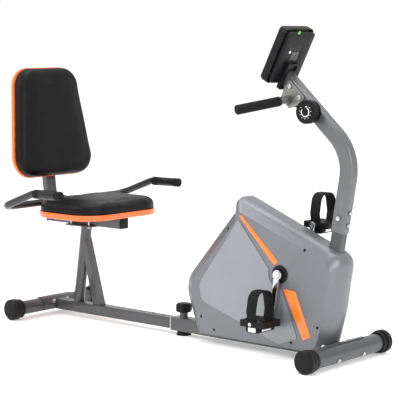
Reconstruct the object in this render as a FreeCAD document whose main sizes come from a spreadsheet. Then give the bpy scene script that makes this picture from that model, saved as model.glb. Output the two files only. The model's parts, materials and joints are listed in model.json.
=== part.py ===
"""Recumbent exercise bike, built as an assembly of separate sub-parts.

Millimetres, +X forwards (from the seat towards the console), +Y to the rider's
left, +Z up.  The origin is on the floor, in the middle of the fixed rubber foot
under the main beam.  The pieces are drawn with X counted from the axis of the
front floor tube and each is then moved forwards by foot_to_front.
"""
import FreeCAD, Part
import math
import os
import re
import Sketcher

os.makedirs("parts", exist_ok=True)
doc = FreeCAD.newDocument("exercise_bike")

# ---------------------------------------------------------------------------
# Driving dimensions
# ---------------------------------------------------------------------------
SIZES = [
    # floor frame
    ("foot_to_front", 678), ("wheelbase", 1320),
    ("front_tube_dia", 60), ("rear_tube_dia", 50), ("floor_tube_wall", 2),
    ("front_tube_span", 440), ("rear_tube_span", 440),
    ("cap_dia", 76), ("cap_collar_dia", 69), ("cap_head", 27), ("cap_collar", 21),
    ("cap_end", 7), ("cap_clearance", 0.2),
    ("saddle_wall", 3.5), ("front_saddle_span", 200), ("rear_saddle_span", 160),
    ("saddle_gap", 0.2),
    ("front_bolt_spacing", 140), ("rear_bolt_spacing", 68), ("floor_bolt_dia", 8),
    ("front_bolt_tilt", 32), ("rear_bolt_tilt", 20),
    # main beam and seat beam
    ("sleeve_size", 46), ("sleeve_wall", 2), ("sleeve_rear", 720),
    ("liner_clearance", 0.15), ("beam_running_gap", 0.25), ("liner_length", 90),
    ("beam_size", 38), ("beam_wall", 2), ("beam_front", 450),
    ("hole_pitch", 47), ("hole_dia", 11),
    ("foot_dia", 52), ("foot_plate", 4),
    # seat lock
    ("lock_collar_dia", 28), ("lock_collar_height", 20), ("lock_knob_dia", 58),
    ("lock_knob_height", 30), ("lock_pin_dia", 9), ("pin_gap", 0.3),
    # upright and post
    ("upright_depth", 46), ("upright_width", 32), ("upright_foot_x", 87),
    ("post_depth", 52), ("post_width", 38), ("post_wall", 2), ("post_round", 9), ("upright_round", 7),
    ("post_clear", 0.3),
    ("post_lean", 9.6), ("post_seam_height", 421), ("post_bend_height", 672),
    ("post_bend_radius", 150), ("arm_rise", 42), ("arm_length", 340),
    ("spigot_length", 90), ("bolt_dia", 8), ("bolt_gap", 0.3), ("cable_setback", 10),
    # housing
    ("shell_wall", 2.6), ("nose_half", 24), ("shoulder_half", 46), ("face_half", 66),
    ("shell_seam", 0.1), ("beam_slot_gap", 0.5), ("panel_raise", 2),
    ("trim_thick", 1.4), ("shell_screw_dia", 9),
    ("screw_floor", 42), ("boss_wall", 2.5),
    # drive
    ("crank_back", 212), ("crank_height", 272), ("crank_length", 151),
    ("crank_tilt", 9), ("crank_arm_inner", 74), ("crank_arm_thick", 11),
    ("crank_arm_width", 20), ("crank_boss_dia", 34), ("axle_dia", 17),
    ("bracket_shell_dia", 40), ("bracket_shell_half", 32), ("bearing_width", 10),
    ("ring_dia", 60), ("ring_thick", 4.5),
    ("drive_pulley_dia", 220), ("pulley_width", 12), ("pulley_side", 46),
    ("belt_thick", 2.5), ("belt_width", 9), ("belt_gap", 0.2),
    ("flywheel_back", 470), ("flywheel_height", 190), ("flywheel_dia", 220),
    ("flywheel_width", 22), ("flywheel_axle_dia", 14), ("small_pulley_dia", 34),
    ("fork_half", 27), ("fork_plate", 4), ("idler_dia", 30),
    ("magnet_gap", 2.5), ("magnet_width", 30), ("fork_bearing_dia", 26),
    ("pivot_dia", 8), ("pivot_ahead", 70), ("pivot_height", 296), ("idler_pin_dia", 8),
    # pedals
    ("spindle_dia", 12), ("spindle_length", 120), ("pedal_length", 100),
    ("pedal_width", 96), ("pedal_above", 9), ("pedal_below", 30), ("pedal_gap", 5),
    ("strap_height", 104), ("strap_width", 38), ("strap_thick", 3),
    ("strap_slot", 4.5), ("strap_bulge", 6),
    # console
    ("console_width", 150), ("console_height", 192), ("console_back", 14),
    ("console_front", 32), ("console_drop", 26), ("console_wall", 2.5),
    ("mount_thick", 14), ("mount_width", 58), ("mount_height", 92), ("mount_drop", 37),
    ("button_dia", 22), ("button_gap", 0.4), ("door_width", 36), ("door_height", 30),
    ("console_bevel_size", 9), ("screen_height", 70), ("screen_width", 96), ("button_proud", 4),
    ("console_tilt", 63.7),
    # tension knob
    ("knob_along", 192), ("knob_dia", 76), ("knob_depth", 22),
    ("knob_base_dia", 60), ("knob_base_depth", 16), ("knob_gap", 0.4), ("cable_dia", 5),
    # front handlebar
    ("bar_dia", 25.4), ("bar_wall", 1.8), ("bar_along", 286), ("bar_middle", 32),
    ("bar_half", 205), ("bar_sweep", 60), ("bar_fall", 27), ("bar_bend", 45),
    ("grip_dia", 32), ("grip_length", 160), ("grip_gap", 0.15),
    ("clamp_plate", 3),
    # seat support
    ("seat_post_dia", 40), ("seat_post_x", 1190), ("seat_post_top_x", 1149),
    ("seat_post_wall", 2), ("strut_depth", 35), ("strut_width", 32),
    ("strut_foot_x", 1087), ("strut_head_x", 1156), ("strut_head_height", 268),
    ("seat_tube_size", 40), ("seat_tube_wall", 2), ("seat_tube_height", 367),
    ("seat_tube_front", 966), ("seat_tube_rear", 1314), ("back_lean", 8),
    ("back_tube_rise", 420), ("back_tube_deep", 25), ("back_tube_wide", 50),
    ("seat_plate", 4),
    # cushions
    ("seat_front_x", 939), ("seat_depth", 308), ("seat_width", 400),
    ("seat_corner", 100), ("seat_height", 388), ("seat_board", 20), ("seat_foam", 40),
    ("back_width_low", 396), ("back_width_high", 292), ("back_low", 512),
    ("back_length", 404), ("back_board", 14), ("back_foam", 40), ("back_corner", 75),
    # side handlebar
    ("side_half", 309), ("side_back_x", 1264), ("side_low", 428),
    ("side_crest_x", 1108), ("side_front_x", 972), ("side_high", 487),
    ("side_bend", 45), ("side_grip_length", 124), ("sensor_length", 74),
    ("bracket_height", 34), ("side_dia", 25.4), ("cushion_gap", 0.3),
]
SIZE_NAMES = {name for name, value in SIZES}

sheet = doc.addObject("Spreadsheet::Sheet", "Sizes")
for row, (name, value) in enumerate(SIZES, start=1):
    sheet.set("A%d" % row, name)
    sheet.set("B%d" % row, str(value))
    sheet.setAlias("B%d" % row, name)
doc.recompute()

WORD = re.compile(r"[A-Za-z_][A-Za-z_0-9]*")


def bound(text):
    """Turn a formula of size names into one that FreeCAD can evaluate."""
    def named(match):
        word = match.group(0)
        return "Sizes." + word if word in SIZE_NAMES else word
    return WORD.sub(named, str(text))


def value_of(text):
    result = sheet.evalExpression(bound(text))
    return float(getattr(result, "Value", result))


def tie(item, prop, text):
    item.setExpression(prop, bound(text))


NODES = []
SHIFT = "foot_to_front"


def keep(item, label):
    """Register a finished sub-part and move it from the drawing origin."""
    item.Label = label
    tie(item, "Placement.Base.x", SHIFT)
    NODES.append(item)
    return item


# ---------------------------------------------------------------------------
# Primitive helpers
# ---------------------------------------------------------------------------
TURN = {
    "z": FreeCAD.Rotation(),
    "x": FreeCAD.Rotation(FreeCAD.Vector(0, 1, 0), 90),
    "y": FreeCAD.Rotation(FreeCAD.Vector(1, 0, 0), -90),
}


def place(item, at, rotation=None):
    if rotation is not None:
        item.Placement.Rotation = rotation
    for axis, text in zip("xyz", at):
        tie(item, "Placement.Base." + axis, text)
    return item


def add(kind, name):
    return doc.addObject(kind, name)


def rod(name, radius, length, at, axis="z", rotation=None):
    item = add("Part::Cylinder", name)
    tie(item, "Radius", radius)
    tie(item, "Height", length)
    return place(item, at, rotation or TURN[axis])


def taper(name, radius1, radius2, length, at, axis="z", rotation=None):
    item = add("Part::Cone", name)
    tie(item, "Radius1", radius1)
    tie(item, "Radius2", radius2)
    tie(item, "Height", length)
    return place(item, at, rotation or TURN[axis])


def block(name, size, at, rotation=None):
    item = add("Part::Box", name)
    for prop, text in zip(("Length", "Width", "Height"), size):
        tie(item, prop, text)
    return place(item, at, rotation)


def cut(name, base, *tools):
    item = add("Part::Cut", name)
    item.Base = base
    item.Tool = tools[0] if len(tools) == 1 else fuse(name + "_tools", *tools)
    return item


def fuse(name, *shapes):
    item = add("Part::MultiFuse", name)
    item.Shapes = list(shapes)
    return item


def group(name, *shapes):
    item = add("Part::Compound", name)
    item.Links = list(shapes)
    return item


def rounded(name, base, radius, test):
    """Fillet the edges of base for which test(edge) is true."""
    doc.recompute()
    item = add("Part::Fillet", name)
    item.Base = base
    size = value_of(radius)
    chosen = [i + 1 for i, edge in enumerate(base.Shape.Edges) if test(edge)]
    item.Edges = [(i, size, size) for i in chosen]
    return item


def runs_along(axis):
    """Edge test: a straight edge parallel to the given axis."""
    index = "xyz".index(axis)

    def test(edge):
        if not isinstance(edge.Curve, (Part.Line, Part.LineSegment)):
            return False
        direction = edge.Curve.Direction
        return abs(abs(direction[index]) - 1) < 1e-6
    return test


# ---------------------------------------------------------------------------
# Sketch helpers
# ---------------------------------------------------------------------------
def new_body(name):
    return add("PartDesign::Body", name)


def plane_of(body, role):
    return next(item for item in body.Origin.OriginFeatures if item.Role == role)


def new_sketch(body, name, role, offset="0"):
    sketch = body.newObject("Sketcher::SketchObject", name)
    sketch.AttachmentSupport = [(plane_of(body, role), "")]
    sketch.MapMode = "FlatFace"
    tie(sketch, "AttachmentOffset.Base.z", offset)
    return sketch


def fix_point(sketch, geometry, position, across, up):
    """Tie one point of the sketch to its two coordinates."""
    for kind, text in (("DistanceX", across), ("DistanceY", up)):
        number = value_of(text)
        index = sketch.addConstraint(
            Sketcher.Constraint(kind, -1, 1, geometry, position, number))
        sketch.setExpression("Constraints[%d]" % index, bound(text))


def corner_data(points, radii, index):
    """Tangent points and centre of the arc that rounds one corner."""
    count = len(points)
    here = points[index]
    before = points[index - 1]
    after = points[(index + 1) % count]
    first = (before - here).normalize()
    second = (after - here).normalize()
    radius = radii[index]
    if radius <= 0:
        return here, here, None
    half = first.getAngle(second) / 2
    reach = radius / math.tan(half)
    middle = (first + second).normalize() * (radius / math.sin(half))
    return here + first * reach, here + second * reach, here + middle


def outline(sketch, points, radii=None):
    """Closed outline of straight lines with tangent arcs at its corners."""
    count = len(points)
    radii = radii or ["0"] * count
    spots = [FreeCAD.Vector(value_of(a), value_of(b), 0) for a, b in points]
    sizes = [value_of(text) for text in radii]
    data = [corner_data(spots, sizes, i) for i in range(count)]
    lines = []
    for i in range(count):
        start, end = data[i][1], data[(i + 1) % count][0]
        lines.append(sketch.addGeometry(Part.LineSegment(start, end), False))
    for i in range(count):
        line_in, line_out = lines[i - 1], lines[i]
        if sizes[i] <= 0:
            sketch.addConstraint(Sketcher.Constraint("Coincident", line_in, 2, line_out, 1))
            fix_point(sketch, line_out, 1, *points[i])
            continue
        round_corner(sketch, spots[i], points[i], data[i], radii[i], line_in, line_out)
    return sketch


def round_corner(sketch, spot, point, data, radius, line_in, line_out):
    start, end, centre = data
    a1 = math.atan2(start.y - centre.y, start.x - centre.x)
    a2 = math.atan2(end.y - centre.y, end.x - centre.x)
    turn = (a2 - a1) % (2 * math.pi)
    circle = Part.Circle(centre, FreeCAD.Vector(0, 0, 1), start.distanceToPoint(centre))
    if turn < math.pi:
        arc = sketch.addGeometry(Part.ArcOfCircle(circle, a1, a1 + turn), False)
        first, last = 1, 2
    else:
        arc = sketch.addGeometry(Part.ArcOfCircle(circle, a2, a1 if a1 > a2 else a1 + 2 * math.pi),
                                 False)
        first, last = 2, 1
    sketch.addConstraint(Sketcher.Constraint("Tangent", line_in, 2, arc, first))
    sketch.addConstraint(Sketcher.Constraint("Tangent", arc, last, line_out, 1))
    index = sketch.addConstraint(Sketcher.Constraint("Radius", arc, value_of(radius)))
    sketch.setExpression("Constraints[%d]" % index, bound(radius))
    mark = sketch.addGeometry(Part.Point(spot), True)
    fix_point(sketch, mark, 1, *point)
    sketch.addConstraint(Sketcher.Constraint("PointOnObject", mark, 1, line_in))
    sketch.addConstraint(Sketcher.Constraint("PointOnObject", mark, 1, line_out))


def rectangle(sketch, across, up, width, tall, radius="0"):
    """Rectangle centred at (across, up)."""
    left = "(%s) - (%s) / 2" % (across, width)
    right = "(%s) + (%s) / 2" % (across, width)
    low = "(%s) - (%s) / 2" % (up, tall)
    high = "(%s) + (%s) / 2" % (up, tall)
    corners = [(left, low), (right, low), (right, high), (left, high)]
    return outline(sketch, corners, [radius] * 4)


def circle(sketch, across, up, radius):
    spot = FreeCAD.Vector(value_of(across), value_of(up), 0)
    item = sketch.addGeometry(Part.Circle(spot, FreeCAD.Vector(0, 0, 1), value_of(radius)), False)
    fix_point(sketch, item, 3, across, up)
    index = sketch.addConstraint(Sketcher.Constraint("Radius", item, value_of(radius)))
    sketch.setExpression("Constraints[%d]" % index, bound(radius))
    return sketch


def feature(body, kind, name, sketch, length=None, both=False, reverse=False):
    """Pad or Pocket of a sketch, checked for having changed the solid."""
    doc.recompute()
    before = body.Shape.Volume if body.Tip and body.Tip.TypeId != "Sketcher::SketchObject" else 0
    item = body.newObject("PartDesign::" + kind, name)
    item.Profile = sketch
    if length is None:
        item.Type = 1
    else:
        tie(item, "Length", length)
    item.Midplane = both
    item.Reversed = reverse
    body.Tip = item
    doc.recompute()
    after = body.Shape.Volume
    if abs(after - before) < 1e-6:
        raise RuntimeError(name + " changed nothing")
    return item


def pad(body, name, sketch, length, both=False, reverse=False):
    return feature(body, "Pad", name, sketch, length, both, reverse)


def pocket(body, name, sketch, length=None, both=False, reverse=False):
    return feature(body, "Pocket", name, sketch, length, both, reverse)


def loft(body, name, sketches, kind="AdditiveLoft"):
    item = body.newObject("PartDesign::" + kind, name)
    item.Profile = sketches[0]
    item.Sections = sketches[1:]
    item.Ruled = True
    body.Tip = item
    doc.recompute()
    return item


# ---------------------------------------------------------------------------
# Shared places
# ---------------------------------------------------------------------------
AXIS_Z = "(cap_dia / 2)"
SLEEVE_TOP = "(cap_dia / 2 + sleeve_size / 2)"
BEAM_TOP = "(cap_dia / 2 + beam_size / 2)"
LOCK_X = "-foot_to_front"
LEAN = "tan(post_lean * 1 deg)"


def post_x(height):
    """X of the upright's centre line at a height."""
    return "(-upright_foot_x + %s * ((%s) - %s))" % (LEAN, height, SLEEVE_TOP)


BEND_X = post_x("post_bend_height")
POST_BOLT_LOW = "(post_seam_height + 22)"
POST_BOLT_HIGH = "(post_seam_height + 62)"
POST_BOLT_SIDE = "(post_seam_height + 46)"
CABLE_EXIT = "(post_seam_height - 70)"


def arm_point(along, out="0"):
    """Point beside the sloping arm: along it from the bend and out from its centre line."""
    x = "(%s - (%s) * cos(arm_rise * 1 deg) + (%s) * sin(arm_rise * 1 deg))"
    z = "(post_bend_height + (%s) * sin(arm_rise * 1 deg) + (%s) * cos(arm_rise * 1 deg))"
    return x % (BEND_X, along, out), z % (along, out)


ARM_END = arm_point("arm_length")



# ---------------------------------------------------------------------------
# Floor frame
# ---------------------------------------------------------------------------
def tilted_rod(name, radius, length, start, centre_x, across, tilt, way):
    """Rod square to a floor tube's axis, rising at tilt degrees towards way (1 forwards)."""
    x = "%s + (%s) * (%s) * cos(%s * 1 deg)" % (centre_x, way, start, tilt)
    z = "%s + (%s) * sin(%s * 1 deg)" % (AXIS_Z, start, tilt)
    turn = FreeCAD.Rotation(FreeCAD.Vector(0, way, 0), 45)
    item = rod(name, radius, length, (x, across, z), rotation=turn)
    tie(item, "Placement.Rotation.Angle", "(90 - %s) * 1 deg" % tilt)
    return item


def bolt_holes(label, dia, centre_x, spacing, tilt, way):
    reach = "(%s / 2 + saddle_wall + 6)" % dia
    return [tilted_rod("%s_hole%s" % (label, tag), "floor_bolt_dia / 2 + 0.3",
                       "2 * " + reach, "-" + reach, centre_x, "%s%s / 2" % (sign, spacing),
                       tilt, way)
            for tag, sign in (("a", "-"), ("b", ""))]


def floor_tube(label, dia, span, centre_x, spacing, tilt, way):
    """Round floor tube across the bike, cross-drilled for two bolts."""
    tube = rod(label + "_outer", "%s / 2" % dia, span,
               (centre_x, "-%s / 2" % span, AXIS_Z), "y")
    bore = rod(label + "_bore", "%s / 2 - floor_tube_wall" % dia, "%s + 2" % span,
               (centre_x, "-%s / 2 - 1" % span, AXIS_Z), "y")
    holes = bolt_holes(label, dia, centre_x, spacing, tilt, way)
    return keep(cut(label, tube, bore, *holes), label)


def saddle(label, dia, centre_x, span, start, sweep, spacing, tilt, way):
    """Curved plate round part of a floor tube; start and sweep are degrees up from +X."""
    inside = "(%s / 2 + saddle_gap)" % dia
    plate = rod(label + "_outer", inside + " + saddle_wall", span,
                (centre_x, "-%s / 2" % span, AXIS_Z), "y")
    plate.Angle = sweep
    plate.Placement.Rotation = FreeCAD.Rotation(
        FreeCAD.Vector(0, 1, 0), -start - sweep).multiply(TURN["y"])
    bore = rod(label + "_bore", inside, "%s + 2" % span,
               (centre_x, "-%s / 2 - 1" % span, AXIS_Z), "y")
    holes = bolt_holes(label, dia, centre_x, spacing, tilt, way)
    return cut(label, plate, bore, *holes)


def floor_bolts(label, dia, centre_x, spacing, tilt, way):
    """Two carriage bolts through a floor tube and its saddle, each with a domed nut."""
    bolts = []
    for tag, sign in (("a", "-"), ("b", "")):
        across = "%s%s / 2" % (sign, spacing)
        outside = "(%s / 2 + saddle_gap + saddle_wall)" % dia
        rest = (centre_x, across, tilt, way)
        shank = tilted_rod("%s_shank%s" % (label, tag), "floor_bolt_dia / 2",
                           "%s / 2 + %s + 7" % (dia, outside), "-%s / 2 - 2" % dia, *rest)
        head = tilted_rod("%s_head%s" % (label, tag), "floor_bolt_dia", "4.5",
                          "-%s / 2 - 4.55" % dia, *rest)
        nut = tilted_rod("%s_nut%s" % (label, tag), "floor_bolt_dia * 0.9", "9",
                         outside + " + 0.5", *rest)
        bolts.append(fuse("%s_one%s" % (label, tag), shank, head, nut))
    return keep(group(label, *bolts), label)


def end_cap(label, sign, dia, span, centre_x):
    """Rubber cap: a wide rolling head and a narrower collar over the floor tube's end."""
    end = "%s / 2" % span
    outside = end + " + cap_end"
    head_from = outside + " - cap_head"
    collar_from = head_from + " - cap_collar"

    def disc(tag, radius, start, stop, slim):
        length = "(%s) - (%s)" % (stop, start)
        at = start if sign > 0 else "-(%s)" % stop
        thin = "%s - %s" % (radius, slim)
        low, high = (radius, thin) if sign > 0 else (thin, radius)
        return taper(label + tag, low, high, length, (centre_x, at, AXIS_Z), "y")

    wide = disc("_head", "cap_dia / 2", head_from, outside + " - 6", "0.01")
    dome = disc("_dome", "cap_dia / 2", outside + " - 6", outside, "7")
    collar = disc("_collar", "cap_collar_dia / 2", collar_from, head_from, "0.01")
    seat = disc("_seat", "%s / 2 + cap_clearance" % dia, collar_from + " - 1", end + " + 0.2",
                "0.01")
    return cut(label, fuse(label + "_solid", wide, dome, collar), seat)


def end_caps(label, dia, span, centre_x):
    """The pair of caps of one floor tube."""
    sides = [end_cap("%s_%d" % (label, side + 1), side, dia, span, centre_x)
             for side in (-1, 1)]
    return keep(group(label, *sides), label)


# ---------------------------------------------------------------------------
# Main beam, upright and the brackets welded to them
# ---------------------------------------------------------------------------
def square_tube_x(name, size, wall, rear, front, height):
    """Square tube along X between rear and front."""
    length = "(%s) - (%s)" % (front, rear)
    inner_size = "(%s - 2 * %s)" % (size, wall)
    outer = block(name + "_outer", (length, size, size),
                  (rear, "-%s / 2" % size, "%s - %s / 2" % (height, size)))
    inner = block(name + "_bore", (length + " + 2", inner_size, inner_size),
                  (rear + " - 1", "-%s / 2" % inner_size,
                   "%s - %s / 2" % (height, inner_size)))
    return cut(name, outer, inner)


def upright_tube(name, low, high, depth, width, wall, round_size):
    """Leaning rectangular tube between two heights."""
    body = new_body(name)

    def section(tag, height, shrink):
        sketch = new_sketch(body, name + tag, "XY_Plane", height)
        rectangle(sketch, post_x(height), "0", "%s - 2 * %s" % (depth, shrink),
                  "%s - 2 * %s" % (width, shrink), "%s - %s" % (round_size, shrink))
        return sketch
    loft(body, name + "_tube", [section("_low", low, "0"), section("_high", high, "0")])
    loft(body, name + "_hollow", [section("_low2", low, wall), section("_high2", high, wall)],
         "SubtractiveLoft")
    return body


def main_frame():
    """Main beam, upright, crank shell and axle forks, welded into one piece."""
    front_end = "-(front_tube_dia / 2 + saddle_gap + saddle_wall / 2)"
    beam = square_tube_x("main_beam", "sleeve_size", "sleeve_wall", "-sleeve_rear", front_end,
                         AXIS_Z)
    relief = rod("beam_relief", "front_tube_dia / 2 + saddle_gap", "sleeve_size + 2",
                 ("0", "-sleeve_size / 2 - 1", AXIS_Z), "y")
    pin_hole = rod("beam_pin_hole", "lock_pin_dia / 2 + pin_gap", "sleeve_size",
                   (LOCK_X, "0", AXIS_Z))
    plate = saddle("front_saddle", "front_tube_dia", "0", "front_saddle_span", 78, 120,
                   "front_bolt_spacing", "front_bolt_tilt", -1)
    upright = upright_tube("upright", SLEEVE_TOP, "post_seam_height + spigot_length",
                           "upright_depth", "upright_width", "post_wall", "upright_round")
    collar = rod("lock_collar", "lock_collar_dia / 2", "lock_collar_height",
                 (LOCK_X, "0", SLEEVE_TOP))
    stand = block("crank_stand", ("34", "26", "crank_height - " + SLEEVE_TOP),
                  ("-crank_back - 17", "-13", SLEEVE_TOP))
    stay = block("crank_stay", ("%s + crank_back - 8" % post_x("crank_height"), "20", "24"),
                 ("-crank_back", "-10", "crank_height - 12"))
    shell = rod("crank_shell", "bracket_shell_dia / 2", "2 * bracket_shell_half",
                ("-crank_back", "-bracket_shell_half", "crank_height"), "y")
    shell_bore = rod("crank_shell_bore", "bracket_shell_dia / 2 - 3.5",
                     "2 * bracket_shell_half + 2",
                     ("-crank_back", "-bracket_shell_half - 1", "crank_height"), "y")
    forks = []
    for tag, at in (("a", "-fork_half - fork_plate"), ("b", "fork_half")):
        leg = block("fork_leg" + tag,
                    ("44", "fork_plate", "flywheel_height + 24 - " + SLEEVE_TOP),
                    ("-flywheel_back - 22", at, SLEEVE_TOP))
        forks.append(leg)
    shelf = block("fork_shelf", ("60", "2 * (fork_half + fork_plate)", "4"),
                  ("-flywheel_back - 30", "-fork_half - fork_plate", SLEEVE_TOP))
    axle_hole = rod("fork_axle_hole", "fork_bearing_dia / 2", "4 * fork_half",
                    ("-flywheel_back", "-2 * fork_half", "flywheel_height"), "y")
    pivot = rod("magnet_pivot", "pivot_dia / 2", "2 * (fork_half + fork_plate)",
                ("-flywheel_back + pivot_ahead", "-fork_half - fork_plate", "pivot_height"), "y")
    ear_list = []
    for tag, at in (("a", "-fork_half - fork_plate"), ("b", "fork_half")):
        ear = block("pivot_ear" + tag, ("pivot_ahead + 34", "fork_plate", "28"),
                    ("-flywheel_back - 22", at, "pivot_height - 14"))
        riser = block("pivot_riser" + tag, ("24", "fork_plate",
                                            "pivot_height - flywheel_height + 4"),
                      ("-flywheel_back - 12", at, "flywheel_height"))
        ear_list += [ear, riser]
    solid = fuse("main_frame_solid", beam, plate, upright, collar, stand, stay, shell, shelf,
                 pivot, *(forks + ear_list))
    return keep(cut("main_frame", solid, relief, pin_hole, shell_bore, axle_hole,
                    *upright_holes()), "main_frame")


def upright_holes():
    """Holes for the post's bolts, and the slot by which the brake cable leaves the upright."""
    holes = [rod("upright_hole_" + tag, "bolt_dia / 2 + bolt_gap", "upright_depth",
                 (post_x(height), "0", height), "x")
             for tag, height in (("low", POST_BOLT_LOW), ("high", POST_BOLT_HIGH))]
    holes.append(rod("upright_hole_side", "bolt_dia / 2 + bolt_gap", "2 * upright_width",
                     (post_x(POST_BOLT_SIDE), "-upright_width", POST_BOLT_SIDE), "y"))
    holes.append(block("cable_slot", ("upright_depth", "cable_dia + 8", "46"),
                       ("%s - upright_depth" % post_x(CABLE_EXIT), "-cable_dia / 2 - 4",
                        CABLE_EXIT + " - 18")))
    return holes


def sleeve_liner():
    """Plastic guide inside the rear end of the main beam, in which the seat beam slides."""
    outer = "(sleeve_size - 2 * sleeve_wall - 2 * liner_clearance)"
    inner = "(beam_size + 2 * beam_running_gap)"
    start = "-sleeve_rear - 3"
    tube = block("liner_outer", ("liner_length", outer, outer),
                 (start, "-%s / 2" % outer, "%s - %s / 2" % (AXIS_Z, outer)))
    lip_size = "(sleeve_size - 1)"
    lip = block("liner_lip", ("2.8", lip_size, lip_size),
                (start, "-%s / 2" % lip_size, "%s - %s / 2" % (AXIS_Z, lip_size)))
    bore = block("liner_bore", ("liner_length + 4", inner, inner),
                 (start + " - 1", "-%s / 2" % inner, "%s - %s / 2" % (AXIS_Z, inner)))
    pin_hole = rod("liner_pin_hole", "lock_pin_dia / 2 + pin_gap", "sleeve_size",
                   (LOCK_X, "0", AXIS_Z))
    return keep(cut("sleeve_liner", fuse("liner_solid", tube, lip), bore, pin_hole),
                "sleeve_liner")


def middle_foot():
    """Rubber foot under the rear end of the main beam."""
    top = "(cap_dia / 2 - sleeve_size / 2)"
    pad_part = taper("foot_pad", "foot_dia / 2", "foot_dia / 2 - 3", top + " - foot_plate",
                     (LOCK_X, "0", "0"))
    plate = rod("foot_washer", "foot_dia / 2 - 8", "foot_plate",
                (LOCK_X, "0", top + " - foot_plate"))
    return keep(fuse("middle_foot", pad_part, plate), "middle_foot")


def lock_knob():
    """Lobed pull knob whose pin drops through the collar into a hole of the seat beam."""
    base = "(%s + lock_collar_height + 0.5)" % SLEEVE_TOP
    tip = "(%s + pin_gap)" % BEAM_TOP
    head = taper("knob_head", "lock_knob_dia / 2 - 5", "lock_knob_dia / 2 - 6",
                 "lock_knob_height", (LOCK_X, "0", base))
    lobes = []
    for index in range(6):
        angle = index * 60
        x = "%s + (lock_knob_dia / 2 - 9) * cos(%d * 1 deg)" % (LOCK_X, angle)
        y = "(lock_knob_dia / 2 - 9) * sin(%d * 1 deg)" % angle
        lobes.append(rod("knob_lobe%d" % index, "9", "lock_knob_height - 6", (x, y, base + " + 3")))
    pin = rod("knob_pin", "lock_pin_dia / 2", "%s + 2 - %s" % (base, tip), (LOCK_X, "0", tip))
    return keep(fuse("lock_knob", head, pin, *lobes), "lock_knob")


# ---------------------------------------------------------------------------
# Post with its curved arm
# ---------------------------------------------------------------------------
def post():
    """Curved rectangular tube that slides over the upright and carries the console."""
    body = new_body("post_body")
    path = new_sketch(body, "post_path", "XZ_Plane")
    start = (post_x("post_seam_height"), "post_seam_height")
    corner = (BEND_X, "post_bend_height")
    end = arm_point("arm_length + 30")
    bent_path(path, start, corner, end, "post_bend_radius")
    section = new_sketch(body, "post_section", "XY_Plane", "0")
    section.AttachmentOffset.Rotation = FreeCAD.Rotation(FreeCAD.Vector(0, 1, 0), 5)
    tie(section, "AttachmentOffset.Base.x", start[0])
    tie(section, "AttachmentOffset.Base.z", start[1])
    tie(section, "AttachmentOffset.Rotation.Angle", "post_lean * 1 deg")
    rectangle(section, "0", "0", "post_depth", "post_width", "post_round")
    rectangle(section, "0", "0", "post_depth - 2 * post_wall", "post_width - 2 * post_wall",
              "post_round - post_wall")
    doc.recompute()
    pipe = body.newObject("PartDesign::AdditivePipe", "post_tube")
    pipe.Profile = section
    pipe.Spine = (path, ["Edge1", "Edge2", "Edge3"])
    body.Tip = pipe
    doc.recompute()
    trim_arm_end(body)
    for tag, height in (("low", POST_BOLT_LOW), ("high", POST_BOLT_HIGH)):
        hole = new_sketch(body, "post_hole_" + tag, "YZ_Plane", "0")
        circle(hole, "0", height, "bolt_dia / 2 + bolt_gap")
        pocket(body, "post_drill_" + tag, hole, "100", both=True)
    spots = [("side", (post_x(POST_BOLT_SIDE), POST_BOLT_SIDE)),
             ("a", arm_point("bar_along - 29")), ("b", arm_point("bar_along + 22")),
             ("knob", arm_point("knob_along"))]
    for tag, (x, z) in spots:
        hole = new_sketch(body, "post_hole_" + tag, "XZ_Plane", "0")
        circle(hole, x, z, "bolt_dia / 2 + bolt_gap")
        pocket(body, "post_drill_" + tag, hole, "100", both=True)
    return keep(body, "post")


def bent_path(sketch, start, corner, end, radius):
    """Open path of two straight runs joined by a tangent arc."""
    spots = [FreeCAD.Vector(value_of(a), value_of(b), 0) for a, b in (start, corner, end)]
    data = corner_data(spots, [0, value_of(radius), 0], 1)
    first = sketch.addGeometry(Part.LineSegment(spots[0], data[0]), False)
    centre = data[2]
    size = data[0].distanceToPoint(centre)
    a1 = math.atan2(data[0].y - centre.y, data[0].x - centre.x)
    a2 = math.atan2(data[1].y - centre.y, data[1].x - centre.x)
    turn = (a2 - a1) % (2 * math.pi)
    ring = Part.Circle(centre, FreeCAD.Vector(0, 0, 1), size)
    if turn < math.pi:
        arc = sketch.addGeometry(Part.ArcOfCircle(ring, a1, a1 + turn), False)
        ends = (1, 2)
    else:
        arc = sketch.addGeometry(Part.ArcOfCircle(ring, a2, a2 + 2 * math.pi - turn), False)
        ends = (2, 1)
    last = sketch.addGeometry(Part.LineSegment(data[1], spots[2]), False)
    sketch.addConstraint(Sketcher.Constraint("Tangent", first, 2, arc, ends[0]))
    sketch.addConstraint(Sketcher.Constraint("Tangent", arc, ends[1], last, 1))
    index = sketch.addConstraint(Sketcher.Constraint("Radius", arc, size))
    sketch.setExpression("Constraints[%d]" % index, bound(radius))
    mark = sketch.addGeometry(Part.Point(spots[1]), True)
    fix_point(sketch, mark, 1, *corner)
    sketch.addConstraint(Sketcher.Constraint("PointOnObject", mark, 1, first))
    sketch.addConstraint(Sketcher.Constraint("PointOnObject", mark, 1, last))
    fix_point(sketch, first, 1, *start)
    fix_point(sketch, last, 2, *end)


def console_offset(up, out):
    """Point near the arm's end, in the console's own directions."""
    x = "(%s + (%s) * cos(console_tilt * 1 deg) - (%s) * sin(console_tilt * 1 deg))"
    z = "(%s + (%s) * sin(console_tilt * 1 deg) + (%s) * cos(console_tilt * 1 deg))"
    return x % (ARM_END[0], up, out), z % (ARM_END[1], up, out)


def trim_arm_end(body):
    """Cut the arm's end parallel to the console's back."""
    sketch = new_sketch(body, "arm_trim", "XZ_Plane", "0")
    outline(sketch, [console_offset("-90", "0"), console_offset("90", "0"),
                     console_offset("90", "90"), console_offset("-90", "90")])
    pocket(body, "arm_trim_cut", sketch, "200", both=True)


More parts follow.
